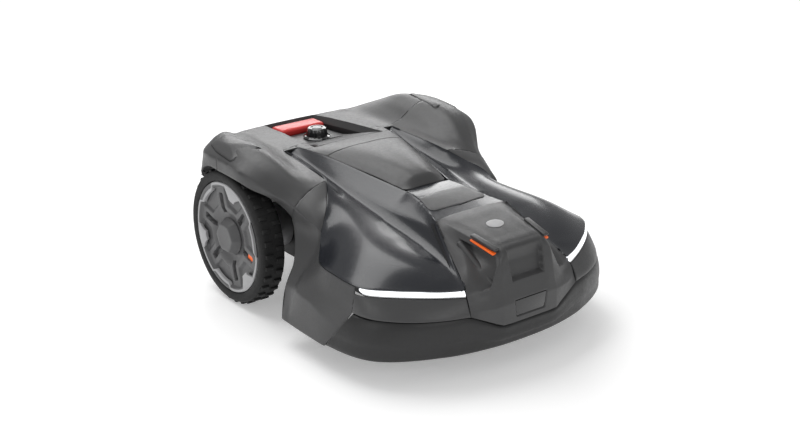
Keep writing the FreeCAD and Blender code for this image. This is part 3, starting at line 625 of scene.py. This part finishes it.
body_grids = [
    sheet(deck_rows), sheet(strip_rows), sheet(tip_rows), sheet(tip_end),
    sheet([*fair(rear_rows[:7], range(4, 10), 3), *rear_rows[7:]], sharp_rows=(6,), sharp_cols=(8, 9)),
    sheet(tail_rows, sharp_rows=(1,)),
    sheet(fair(fender_rows, (1, 2, 3, 4, 5), 4), sharp_cols=(4, 5)),
    sheet(sliver_rows),
    sheet(quarter_rows, sharp_cols=(5,)),
    sheet(belt_rows),
]
panel("body_shell_cover", body_grids, BODY, replaces="body_shell")

ARCH_EDGE = [(258, 271, 224), (260, 267, 234), (262, 263, 236), (268.5, 248, 246), (269.5, 226, 256),
             (270, 190, 257), (270.5, 150, 257), (269, 110, 254.5), (260, 86, 246.5), (242, 65, 236),
             (226, 48, 221), (217, 27, 203), (216, 24, 187), (221, 13, 164), (237, -6, 136),
             (262, -17, 103), (285, -36, 48)]
LINER_RADIUS, LINER_X, LINER_TOP = 140.0, 210, 200      # above LINER_TOP the liner clears the tyre


def arch_liner():
    """Dark wheel-arch wall that closes the body behind each arch edge."""
    rows = []
    for x, y, z in ARCH_EDGE:
        out = np.array((y - AXLE_Y, z - AXLE_Z), float)
        out /= np.linalg.norm(out)
        lift = max(0.0, LINER_RADIUS - np.hypot(y - AXLE_Y, z - AXLE_Z)) if z > LINER_TOP else 0.0
        deep = (LINER_X, y + out[0] * (lift + 2), z + out[1] * (lift + 2))
        near = (min(x, 268) - 3, y + out[0] * (lift + 1), z + out[1] * (lift + 1))
        rows.append([(x - 1.2, y, z), near, ((near[0] + LINER_X) / 2, deep[1], deep[2]), deep])
    panel("wheel_arch_liners", [sheet(rows, sharp_cols=(1,))], LINER, thick=2, **PLAIN)


arch_liner()

# ---- bumper and headlights
BUMPER_TOP = [(0, -366.5, 92.5), (30, -366.5, 92.5), (60, -366, 93), (90, -359.5, 106),
              (118.5, -351.5, 119), (145, -345, 120.5), (170, -334.5, 120.5), (212, -308.5, 120.5),
              (236, -285.5, 120.5), (252, -264, 120.5), (261.5, -241, 120.8), (264.8, -221.5, 121)]
BUMPER_LOW = [(0, -357, 50), (30, -356.5, 50), (59, -354.5, 50), (88, -351, 50), (113, -346.5, 50),
              (141, -339, 50), (167, -329, 50), (212, -308, 50), (240, -290, 50), (262, -268, 50),
              (277, -236, 50), (286.5, -170.5, 49)]
BUMPER_MIDDLE_Y = -130      # the bumper faces away from this point on the centre plane


def bumper_rows():
    """Rows along the bumper, each running from its top edge to its lower edge."""
    rows = []
    for a, b in zip(np.array(BUMPER_TOP, float), np.array(BUMPER_LOW, float)):
        heading = math.atan2(a[0], -a[1] + BUMPER_MIDDLE_Y)
        out = np.array((math.sin(heading), -math.cos(heading), 0))
        tall = (a[2] - b[2]) / 70
        profile = ((0, -5, 0.0), (0, -1.5, 0.4), (0.05, 0.8, 0), (0.3, 4.2 * tall, 0), (0.52, 4.6, 0),
                   (0.6, 4.2, 0), (0.645, 2.6, 0), (0.8, 2.0, 0), (0.97, 0, 0), (1, -2.5, 0), (1, -9, 0))
        rows.append([a + (b - a) * f + out * o + (0, 0, lift) for f, o, lift in profile])
    return rows


panel("front_bumper_cover", [sheet(bumper_rows(), sharp_cols=(6,))], DARK, replaces="front_bumper")


def strip_between(name, top, low, bulge, material, inset, replaces=None):
    """A band between two curves with a rounded face, whose edges run back by inset."""
    count, middle_y, step = 60, -120, 1.2
    rows = []
    for a, b in zip(line(top, count), line(low, count)):
        out = np.array((a[0], a[1] - middle_y, 0.0))
        out /= np.linalg.norm(out)
        rows.append([a - out * inset, a, a * 0.75 + b * 0.25 + out * bulge, a * 0.25 + b * 0.75 + out * bulge,
                     b, b - out * inset])
    grid = run_through(np.array(rows, float).transpose(1, 0, 2), (1, 4), step).transpose(1, 0, 2)
    panel(name, [grid], material, rounds=0, thick=1.5, gap=0.3, bevel=0, replaces=replaces)


LAMP_TOP = [(255.5, -228, 166.3), (249.3, -238.5, 166.3), (234.5, -256.3, 166.3), (217.5, -273.2, 166.2),
            (196.6, -290.2, 165.2), (160, -313.2, 162.4), (116.6, -332.6, 160.6)]
LAMP_LOW = [(253.5, -233.5, 160.5), (249.8, -239.5, 159), (235.4, -257.6, 158.4), (218.2, -274.7, 158.4),
            (197.3, -291.6, 158), (160.6, -315.2, 156), (118.2, -337.5, 154.2)]
strip_between("headlight_lenses", LAMP_TOP, LAMP_LOW, 1.6, LAMP, 5, "headlights")
BEZEL_TOP = [(x, y, z - 0.6) for x, y, z in LAMP_LOW]
BEZEL_LOW = [(x + 0.2, y - 0.4, z - 2.1) for x, y, z in LAMP_LOW]
strip_between("headlight_bezels", BEZEL_TOP, BEZEL_LOW, 0.5, BEZEL, 4)

# ---- nose
# Rows run from the top rear edge over the front to the lower edge, columns outwards.
nose_rows = [
    [(0, -205.5, 239.5), (28, -205.5, 239.5), (52, -206, 238.8), (66, -207, 238), (72, -207.5, 237.5),
     (76, -208, 237), (79, -209, 236)],
    [(0, -225, 238.5), (28, -225, 238.5), (55, -225, 237.5), (69, -224, 235.5), (75, -223, 232),
     (79, -222, 230), (83, -221.5, 228.5)],
    [(0, -247, 236), (28, -247, 236), (55, -247, 235), (67, -246, 232), (74, -244, 225), (81, -241, 220),
     (88, -239, 218)],
    [(0, -277, 232.5), (28, -277, 232.5), (53, -277, 231.5), (64, -277, 227), (72, -275, 214),
     (82, -271, 206), (96, -268, 200.5)],
    [(0, -307, 228), (28, -307, 228), (51, -307, 227), (61, -308, 221), (70, -306, 203), (83, -300, 193),
     (103.5, -296, 184)],
    [(0, -331, 223.5), (28, -331, 223.5), (49, -332, 222), (58, -334, 214), (68, -333, 194),
     (84, -327, 182), (109, -315, 172.5)],
    [(0, -344, 218), (28, -344, 218), (47, -346, 216), (56, -348, 206), (67, -347, 186), (85, -338, 171),
     (112.5, -328, 165)],
    [(0, -352, 196), (28, -352, 196), (46, -353, 195), (56, -355, 187), (67, -353, 173), (87, -346, 162),
     (115.5, -334, 158)],
    [(0, -358, 172), (28, -358, 172), (46, -358.5, 171), (57, -359, 167), (69, -357, 157), (89, -350, 150),
     (117, -338.5, 152)],
    [(0, -364, 148), (28, -364, 148), (46, -364, 147), (58, -363, 146), (71, -360, 142), (91, -354, 140),
     (118, -344, 142)],
    [(0, -368.5, 131), (28, -368.5, 131), (46, -368, 130.5), (60, -367, 130), (74, -364, 129),
     (93, -358, 129), (118.6, -348, 132)],
    [(0, -369, 94.5), (28, -369, 94.5), (46, -368.8, 94.6), (60, -368, 95), (76, -363, 101.5),
     (97, -358, 111), (119, -353, 121)],
]


def inside_depth(point, corners):
    """Distance of a 2-D point inside a convex polygon from its nearest side; negative outside."""
    sides = list(zip(corners, corners[1:] + corners[:1]))
    sign = 1 if sum(a[0] * b[1] - b[0] * a[1] for a, b in sides) > 0 else -1
    best = 1e9
    for a, b in sides:
        ex, ey = b[0] - a[0], b[1] - a[1]
        cross = ex * (point[1] - a[1]) - ey * (point[0] - a[0])
        best = min(best, sign * cross / math.hypot(ex, ey))
    return best


SCOOP = [(-42, 236), (42, 236), (36, 166), (-36, 166)]                          # (x, z)
WINDOW = [(-37, 135), (37, 135), (33, 103), (-33, 103)]                         # (x, z)
SIDE_POCKET = [(-258, 221), (-338, 210), (-347, 196), (-352, 160), (-345, 158)]  # (y, z)
SCOOP_DEPTH, SCOOP_TOP, SCOOP_RUN = 9.5, 228, 34    # the scoop deepens over SCOOP_RUN below SCOOP_TOP
WINDOW_DEPTH, POCKET_DEPTH = 4, 14
WALL, POCKET_WALL = 2.5, 4                          # width of the sloping walls
FRONT_Y = -325


def shape_nose(obj):
    """Sinks the front scoop, the lower window seat and the two side pockets."""
    for v in obj.data.vertices:
        x, y, z = v.co / MM
        if y <= FRONT_Y:
            depth = (ramp(inside_depth((x, z), SCOOP), WALL) * SCOOP_DEPTH * ramp(SCOOP_TOP - z, SCOOP_RUN)
                     + ramp(inside_depth((x, z), WINDOW), WALL) * WINDOW_DEPTH)
            v.co -= Vector((0, -1, 0)) * depth * MM
        x, y, z = v.co / MM
        if abs(x) >= 40 and y <= -240:
            depth = ramp(inside_depth((y, z), SIDE_POCKET), POCKET_WALL) * POCKET_DEPTH
            v.co.x -= math.copysign(depth, x) * MM


panel("nose_housing", [sheet(nose_rows, sharp_rows=(10,), sharp_cols=(3,), step=1.7)], BODY, rounds=1,
      shape=shape_nose, replaces="nose_module")

BOX_FACES = [(0, 1, 3, 2), (4, 6, 7, 5), (0, 4, 5, 1), (2, 3, 7, 6), (0, 2, 6, 4), (1, 5, 7, 3)]


def block(name, middle, size, bevel, turn=None, segments=3):
    """A box with rounded edges, turned by a matrix if given."""
    half = np.array(size) / 2
    points = [np.array((sx, sy, sz)) * half for sx in (-1, 1) for sy in (-1, 1) for sz in (-1, 1)]
    if turn is not None:
        points = [np.array(turn @ Vector(p)) for p in points]
    obj = new_mesh(name, [p + np.array(middle) for p in points], BOX_FACES)
    soft_edges(obj, bevel, segments)
    return obj


def bar_pair(name, start, end, width, height, bevel, material, replaces=None):
    """A rounded bar from start to end, with its mirror image in one piece."""
    bars = []
    for side in (-1, 1):
        a, b = (Vector((side * x, y, z)) for x, y, z in (start, end))
        along = (b - a).normalized()
        across = along.cross(Vector((0, 0, 1))).normalized()
        turn = Matrix((along, across, across.cross(along))).transposed()
        bars.append(block("bar", (a + b) / 2, ((b - a).length, width, height), bevel, turn))
    dress(join(bars, name), material, replaces=replaces)


bar_pair("nose_accent_strips", (62.5, -284, 223.5), (58.5, -338, 213.5), 8, 3.4, 0.8, ORANGE, "nose_accents")
bar_pair("nose_side_bars", (73.5, -262, 214), (64.5, -349, 160), 12, 13, 5, BODY)
bar_pair("nose_flanges", (61, -283, 231), (55, -341, 221), 11, 5.5, 2, BODY)

PANE = ((-35.6, 133.4), (35.6, 133.4), (31.8, 104.4), (-31.8, 104.4))           # (x, z)
pane = new_mesh("nose_sensor_window", [(x, y, z) for y in (-367.4, -362) for x, z in PANE],
                [(0, 1, 2, 3), (7, 6, 5, 4), (0, 4, 5, 1), (1, 5, 6, 2), (2, 6, 7, 3), (3, 7, 4, 0)])
orient_out(pane, (0, -364.7, 119))
soft_edges(pane, 1.2, 3)
dress(pane, GLOSS_BLACK, replaces="nose_window")
nose_height = surface_height("nose_housing")
badge = [(17 * math.cos(a), -272 + 13 * math.sin(a)) for a in np.linspace(0, 2 * math.pi, 41)[:-1]]
flat_patch("nose_badge_blank", badge, lambda x, y: nose_height(x, y) + 0.7, 1.2, SILVER, bevel=0.3,
           replaces="nose_badge")


# ---- black strips behind the seams: painted shade that keeps the gaps dark
def shade_strip_grid(edge, inward, across, width):
    """A band behind a seam: edge points moved inward, as wide as width on each side along across."""
    return sheet([[np.array(p, float) + inward + np.array(across) * f for f in (-width, 0, width)]
                  for p in edge])


# Black backing behind the nose's side and lower edges and the belt's lower edge: painted shade that stops
# floor light showing through these seams.
seam_flanges = [shade_strip_grid([row[-1] for row in nose_rows], (0, 4.5, -4.5), (1, 0, 0), 7),
                shade_strip_grid(nose_rows[-1], (0, 6, 0), (0, 0, 1), 6),
                shade_strip_grid(BELT_LOW[1:], (-3.3, 5, 0), (0, 0, 1), 6)]
panel("seam_flanges", seam_flanges, BLACK, thick=1.2, **PLAIN)


# ---- drive wheels
SLOT_TURN = math.radians(-15)       # first slot; angle 0 points to the front
WEDGE_TURN = math.radians(75)       # first silver wedge
SPOKES, WEDGES, LUGS = 6, 3, 34


def turns(count):
    """Evenly spaced angles round a full turn."""
    return [2 * math.pi * i / count for i in range(count)]


def on_wheel(side, r, angle, h):
    """A point of the wheel on one side: radius and angle round the axle, height out from its inner face."""
    return np.array((side * (WHEEL_INNER_X + h), AXLE_Y - r * math.cos(angle), AXLE_Z + r * math.sin(angle)))


def wheel_ring(name, side, section_at, count, closed=True):
    """A surface swept round the axle; section_at(angle) gives its (radius, height) points."""
    ring = swept(name, [[on_wheel(side, r, a, h) for r, h in section_at(a)] for a in turns(count)], closed)
    if closed:
        fix_normals(ring)
    return ring


def wheel_plate(obj, side, thick, bevel=0.0):
    """Thickens an outward-facing surface of the wheel towards the mower."""
    orient_out(obj, (side * 100, AXLE_Y, AXLE_Z))
    thicken(obj, thick)
    if bevel:
        soft_edges(obj, bevel, 2, 50)


def off_angle(angle, first, count):
    """Signed distance in radians from the nearest of count evenly spaced directions."""
    pitch = 2 * math.pi / count
    return (angle - first + pitch / 2) % pitch - pitch / 2


def lug(side, angle, h0, h1):
    """One tread block with sloping flanks."""
    foot_r, top_r, slope = 123.4, 129.6, 1.2
    half_foot, half_top = 4.6 / 124, 3.4 / 130      # radians
    points = []
    for r, half, inset in ((foot_r, half_foot, 0.0), (top_r, half_top, slope)):
        for a in (angle - half, angle + half):
            points += [on_wheel(side, r, a, h0 + inset), on_wheel(side, r, a, h1 - inset)]
    obj = new_mesh("lug", points, BOX_FACES)
    fix_normals(obj)
    return obj


def tyre(side, name):
    """Tyre with a rounded shoulder and two staggered rows of tread blocks."""
    outline = [(106, 4), (106, 47), (107.5, 50), (111, 51.5), (118, 52), (121.5, 51.2), (124, 49),
               (125.6, 45.5), (125.9, 40), (125.9, 12), (125.6, 7.5), (124, 3.5), (121, 1.5), (117, 0.6),
               (110, 1.5)]
    pieces = [wheel_ring("carcass", side, lambda angle: outline, 160)]
    for i in range(LUGS):
        pieces.append(lug(side, 2 * math.pi * i / LUGS, 29, 46))
        pieces.append(lug(side, 2 * math.pi * (i + 0.5) / LUGS, 6, 23))
    piece = join(pieces, f"tyre_tread_{name}")
    soft_edges(piece, 0.5, 2, 30)
    dress(piece, RUBBER, f"drive_wheel_{name}", f"tyre_{name}")


def disc_height(r, angle):
    """Outer face of the wheel disc: a dish with sunk fields between its spokes, and slots in the spokes."""
    hub_height, dish_rise, field_depth, slot_depth, bead_height = 38.5, 7.5, 4.0, 8.0, 4.5
    half_spoke, spoke_taper, half_slot = 15, 0.06, 6.2
    off = abs(off_angle(angle, SLOT_TURN, SPOKES) * r)
    field = ramp(off - half_spoke + (r - 72) * spoke_taper, 5) * ramp(r - 58, 7) * ramp(97 - r, 5)
    slot = ramp(half_slot - off, 1.4) * ramp(r - 46, 1.8) * ramp(84 - r, 1.8)
    dish = hub_height + dish_rise * ramp(r - 34, 26)
    return dish - field_depth * field - slot_depth * slot * (1 - field) + bead_height * ramp(r - 94, 5)


def wheel_disc(side, name):
    """Six-spoke disc with slots, a rim bead and a plain hub boss behind it."""
    radii = [20, 26, 32, 34, 36, 38, 41, *np.arange(44, 105.5, 1.1)]
    face = wheel_ring("face", side, lambda a: [(r, disc_height(r, a)) for r in radii], 300, closed=False)
    wheel_plate(face, side, 3.5)
    boss = wheel_ring("boss", side, lambda a: [(8, 2), (24, 2), (26, 4), (28, 36), (8, 38)], 60)
    rim = wheel_ring("rim", side, lambda a: [(103, 4), (107, 4), (107, 46), (103.5, 46)], 120)
    dress(join([face, boss, rim], f"wheel_disc_cover_{name}"), DISC, f"drive_wheel_{name}",
          f"wheel_disc_{name}")


def trim_section(angle):
    """Section of the silver ring, which steps in between the wedges."""
    outer_r, step_in, half_step, blend = 102.0, 8.0, math.radians(19), math.radians(5)
    away = abs(off_angle(angle, WEDGE_TURN + math.pi / WEDGES, WEDGES))
    r = outer_r - step_in * ramp(half_step - away, blend)
    return [(r - 3, 44), (r - 3, 49.2), (r - 2.2, 50.4), (r + 1.6, 51.2), (r + 3, 50.4), (r + 3.4, 48),
            (r + 3.4, 44)]


def wheel_trim(side, name):
    """Silver ring and three wedges that lie on the disc."""
    pieces = [wheel_ring("ring", side, trim_section, 240)]
    inner_r, length = 79, 27
    for k in range(WEDGES):
        middle = WEDGE_TURN + 2 * math.pi * k / WEDGES
        rows = []
        for f in np.linspace(0, 1, 9):
            half = math.radians(5.5 + 9.5 * ramp(f, 1.0)) + 0.02
            top = 50.6 + 1.2 * math.sin(math.pi * f)
            rows.append([on_wheel(side, inner_r + length * f, middle + half * a, top - 1.0 * abs(a) ** 2)
                         for a in np.linspace(-1, 1, 11)])
        wedge = grids_object("wedge", [np.array(rows)], mirror=False)
        wheel_plate(wedge, side, 6, 0.8)
        pieces.append(wedge)
    dress(join(pieces, f"wheel_trim_ring_{name}"), SILVER, f"drive_wheel_{name}", f"wheel_trim_{name}")


# radius, share of the way from a circle to a hexagon, height
CAP_SECTION = [(35, 0.3, 38), (35.5, 0.4, 41), (34, 0.6, 43.5), (27.2, 0.8, 54.4), (26.2, 0.7, 55.4),
               (24.5, 0.6, 55.8), (20, 0.4, 55.4), (10, None, 55.0), (0.01, None, 55.0), (0.01, None, 38)]


def cap_section(angle):
    """Section of the blank hub cap, round in the middle and six-sided further out."""
    def facet(r, share):
        sided = r * math.cos(math.pi / 6) / math.cos(off_angle(angle, math.pi / 6, 6))
        return r * (1 - share) + sided * share * 1.06
    return [(r if share is None else facet(r, share), h) for r, share, h in CAP_SECTION]


def hub_cap(side, name):
    """Blank six-sided cap with softened facets."""
    cap = wheel_ring(f"hub_cap_cover_{name}", side, cap_section, 96)
    fix_normals(cap, weld=0.05)
    smooth_shade(cap)
    dress(cap, DISC, f"drive_wheel_{name}", f"hub_cap_{name}")


def wheel_insert(side, name):
    """Orange insert that fills the outer half of one slot."""
    height, half_width = 42.5, 5.6
    rows = [[on_wheel(side, r, SLOT_TURN + a / r, height) for a in np.linspace(-half_width, half_width, 5)]
            for r in np.linspace(64, 81.5, 7)]
    insert = grids_object(f"wheel_insert_cover_{name}", [np.array(rows)], mirror=False)
    wheel_plate(insert, side, 3, 0.6)
    dress(insert, ORANGE, f"drive_wheel_{name}", f"wheel_insert_{name}")


for side, name in ((1, "left"), (-1, "right")):
    for make in (tyre, wheel_disc, wheel_trim, hub_cap, wheel_insert):
        make(side, name)


# ---- fender pads and posts
def turned(name, centre, section_at, count):
    """A closed lathe piece about a vertical axis; section_at(angle) gives its (radius, z) points."""
    obj = swept(name, [[(centre[0] + r * math.cos(a), centre[1] + r * math.sin(a), z)
                        for r, z in section_at(a)] for a in turns(count)])
    fix_normals(obj, weld=0.02)
    smooth_shade(obj)
    return obj


cover_height = surface_height("body_shell_cover")
PAD = [(203, 142), (266, 147), (262, 205), (252, 240), (216, 243)]
SEAL_LIFT, PAD_LIFT = 0.7, 2.2
for side, name in ((1, "left"), (-1, "right")):
    outline = corner_rounded([(side * x, y) for x, y in PAD], 8)
    middle = np.mean(np.array(outline), axis=0)
    seat = [middle + (np.array(p) - middle) * 1.05 for p in outline]
    flat_patch(f"fender_pad_seal_{name}", seat, lambda x, y: cover_height(x, y) + SEAL_LIFT, 1.6, BLACK,
               bevel=0.3)
    flat_patch(f"fender_pad_{name}", outline, lambda x, y: cover_height(x, y) + PAD_LIFT, 2.4, PAD_GREY,
               bevel=1.0, replaces="fender_pads" if side == 1 else None)

POST_SECTION = [(5.4, 198.6), (9, 198.6), (9, 209), (8, 210), (5.4, 210)]
posts = [turned("post", (x, y), lambda angle: POST_SECTION, 24) for x in (-95, 95) for y in (-92, 92)]
dress(join(posts, "shell_support_posts"), BLACK, replaces="shell_posts")

# ---- controls
OPENING = [(80, 152, 273), (78, 172, 272), (76.5, 190, 271), (73, 230, 269), (70.5, 255, 267.5),
           (68, 275, 266.5), (63.5, 325, 262.5), (59, 366, 257.5)]
ISLAND_Z = [(152, 273.6), (170, 270.5), (190, 265), (210, 258.5), (230, 252.5), (250, 248.5), (275, 247),
            (312, 246.5)]
ISLAND_REAR, ISLAND_FRONT = 152, 312


def island_height(x, y):
    """Top of the body-coloured island in the control recess, crowned near its front."""
    y = min(max(y, ISLAND_REAR), ISLAND_FRONT)
    crown = 2.0 * (1 - (x / 80) ** 2) * ramp(200 - y, 60)
    return float(np.interp(y, *zip(*ISLAND_Z))) + crown


def island():
    """The island, with rounded side edges and a steep end below the stop button."""
    floor_z = 236
    rows = []
    for y in np.linspace(152.8, 305, 40):
        half = np.interp(y, (152, 165, 180, 308), (79, 66, 61, 50))
        rows.append([(half * f, y, island_height(half * f, y)) for f in (0, 0.25, 0.5, 0.75, 0.92)]
                    + [(half * 0.975, y, island_height(half, y) - 0.5),
                       (half, y, island_height(half, y) - 2), (half + 0.6, y, floor_z)])
    end = [(x, 306.3, z - 1.2 if z > 240 else z) for x, y, z in rows[-1]]
    wall = [(x, 306.8, floor_z) for x, y, z in rows[-1]]
    panel("control_island", [sheet([*rows, end, wall], sharp_rows=(len(rows) - 1,), step=3)], BODY, gap=0,
          rounds=1, bevel=0, thick=1.6)


def recess():
    """Body-coloured collar that slopes in, then black walls and floor."""
    collar, walls = [], []
    for x, y, z in OPENING:
        collar.append([(x - 0.4, y, z - 0.5), (x - 2.5, y, z - 6), (x - 5.5, y, z - 13)])
        walls.append([(x - 5.5, y, z - 13), (x - 6.5, y, z - 20), (x - 7, y, 235), (x * 0.5, y, 234.5),
                      (0, y, 234.5)])
    rear_x, rear_y, rear_z = OPENING[-1]

    def across(inset, z):
        return [(f * (rear_x - inset), rear_y - inset, z) for f in (0, 0.5, 1)]
    back_collar = [across(inset, rear_z - drop) for inset, drop in ((0.4, 0.5), (2.5, 6), (5.5, 13))]
    back_wall = [across(inset, z) for inset, z in ((5.5, rear_z - 13), (6.5, rear_z - 20), (7, 235))]
    panel("control_recess_collar", [sheet(collar), sheet(back_collar)], BODY, thick=1.4, **PLAIN)
    panel("control_recess_well", [sheet(walls, sharp_cols=(2,)), sheet(back_wall)], BLACK, thick=1.4,
          replaces="control_tray", **PLAIN)


island()
recess()

STOP_Y, DIAL_Y = 330, 262
stop = block("stop_button_cap", (0, STOP_Y, 250.2), (104, 40, 16), 6.2, segments=5)
dress(stop, RED, "stop", "stop_button")

# radius, z, whether the grip's ridges reach this point
KNOB_SECTION = [(10.2, 246, 0), (26.5, 246, 0), (27, 247, 0), (27, 250.4, 0), (26, 251.6, 0),
                (22.5, 252.4, 0), (21.5, 253.2, 1), (20.4, 260, 1), (19.2, 265, 1), (17.8, 268, 0),
                (15.4, 269.2, 0), (13.2, 268.8, 0), (12.6, 267.6, 0), (10.2, 267.4, 0)]
DIAL_CAP_SECTION = [(0.01, 250), (9.8, 250), (9.8, 268.4), (9.2, 269.4), (7, 269.9), (0.01, 270.1)]


def knob_section(angle, ridges=16, ridge_depth=0.035):
    """Section of the dial's knob; the ridges take up to ridge_depth off its radius."""
    grip = 1 - ridge_depth * (0.5 + 0.5 * math.cos(ridges * angle))
    return [(r * (grip if ridged else 1), z) for r, z, ridged in KNOB_SECTION]


dress(turned("jog_dial_knob", (0, DIAL_Y), knob_section, 192), GLOSS_BLACK, "dial", "jog_dial")
dress(turned("dial_push_cap", (0, DIAL_Y), lambda angle: DIAL_CAP_SECTION, 64), SILVER, "dial_push",
      "dial_button")
STATUS_OUTLINE = [(-27, 214), (30, 214), (30, 221), (-6, 221), (-10, 233), (-27, 233)]
flat_patch("status_window_pane", corner_rounded(STATUS_OUTLINE, 2.5), lambda x, y: island_height(x, y) + 0.7,
           1.4, GLOSS_BLACK, bevel=0.3, replaces="status_window")

# ---- studio, in metres and watts
FLOOR_SIZE, FLOOR_GLOW = 30, 0.3
WORLD_LIGHT = 0.42                  # strength of the surroundings as a light
CAMERA_LENS, SENSOR_WIDTH = 63.0, 36.0          # millimetres
CAMERA_AZIMUTH, CAMERA_ELEVATION = math.radians(-37.6), math.radians(21.6)
CAMERA_DISTANCE, CAMERA_TARGET = 2.605, Vector((0, -0.0068, 0.1565))


def studio_floor():
    """Plain pale floor that glows a little, as a white sweep does."""
    bpy.ops.mesh.primitive_plane_add(size=FLOOR_SIZE)
    floor = bpy.context.object
    floor.name = "studio_floor"
    white, _, shader = node_setup("pale_floor")
    put(shader, {"Base Color": (0.9, 0.9, 0.9, 1), "Roughness": 0.7, "Specular IOR Level": 0.1,
                 "Emission Color": (1, 1, 1, 1), "Emission Strength": FLOOR_GLOW})
    floor.data.materials.append(white)


def area_light(name, spot, target, size, power):
    """A rectangular softbox at spot that faces target."""
    data = bpy.data.lights.new(name, "AREA")
    data.shape = "RECTANGLE"
    data.size, data.size_y = size
    data.energy = power
    lamp = place(name, data)
    lamp.location = spot
    lamp.rotation_euler = (Vector(target) - Vector(spot)).to_track_quat("-Z", "Y").to_euler()


def studio_world():
    """White surroundings: full white where the camera sees them, softer as a light."""
    world = bpy.data.worlds.new("studio_world")
    world.use_nodes = True
    tree = world.node_tree
    background = tree.nodes["Background"]
    put(background, {"Color": (1, 1, 1, 1)})
    path = tree.nodes.new("ShaderNodeLightPath")
    strength = tree.nodes.new("ShaderNodeMapRange")
    put(strength, {"To Min": WORLD_LIGHT, "To Max": 1.0})
    tree.links.new(path.outputs["Is Camera Ray"], strength.inputs["Value"])
    tree.links.new(strength.outputs["Result"], background.inputs["Strength"])
    bpy.context.scene.world = world


def studio_camera():
    """Camera that sees the front and the mower's left side, from a little above."""
    data = bpy.data.cameras.new("camera")
    data.lens = CAMERA_LENS
    data.sensor_width = SENSOR_WIDTH
    camera = place("camera", data)
    azimuth, elevation = CAMERA_AZIMUTH, CAMERA_ELEVATION
    back = Vector((math.sin(azimuth) * math.cos(elevation), -math.cos(azimuth) * math.cos(elevation),
                   math.sin(elevation)))
    camera.location = CAMERA_TARGET + back * CAMERA_DISTANCE
    camera.rotation_euler = (-back).to_track_quat("-Z", "Y").to_euler()
    bpy.context.scene.camera = camera


studio_floor()
area_light("key_softbox", (-0.2, 0.9, 2.3), (0, 0, 0.2), (2.2, 1.5), 34)
area_light("rear_softbox", (1.7, 2.4, 1.35), (0, 0, 0.2), (2.2, 1.0), 27)
area_light("left_fill", (-3.2, -0.6, 1.4), (0, 0, 0.1), (1.4, 1.4), 12)
area_light("front_fill", (-0.6, -3.1, 1.7), (0, 0, 0.1), (1.6, 1.0), 13)
studio_world()
studio_camera()
bpy.context.scene.view_settings.view_transform = "Standard"

# ---- looks of the carried-over CAD nodes
slot_of = {subpart["node"]: subpart["material_slot"] for subpart in frame["record"]["subparts"]}
for name, node in frame["nodes"].items():
    node.data.materials.clear()
    node.data.materials.append(CAD_LOOKS[slot_of[name]])
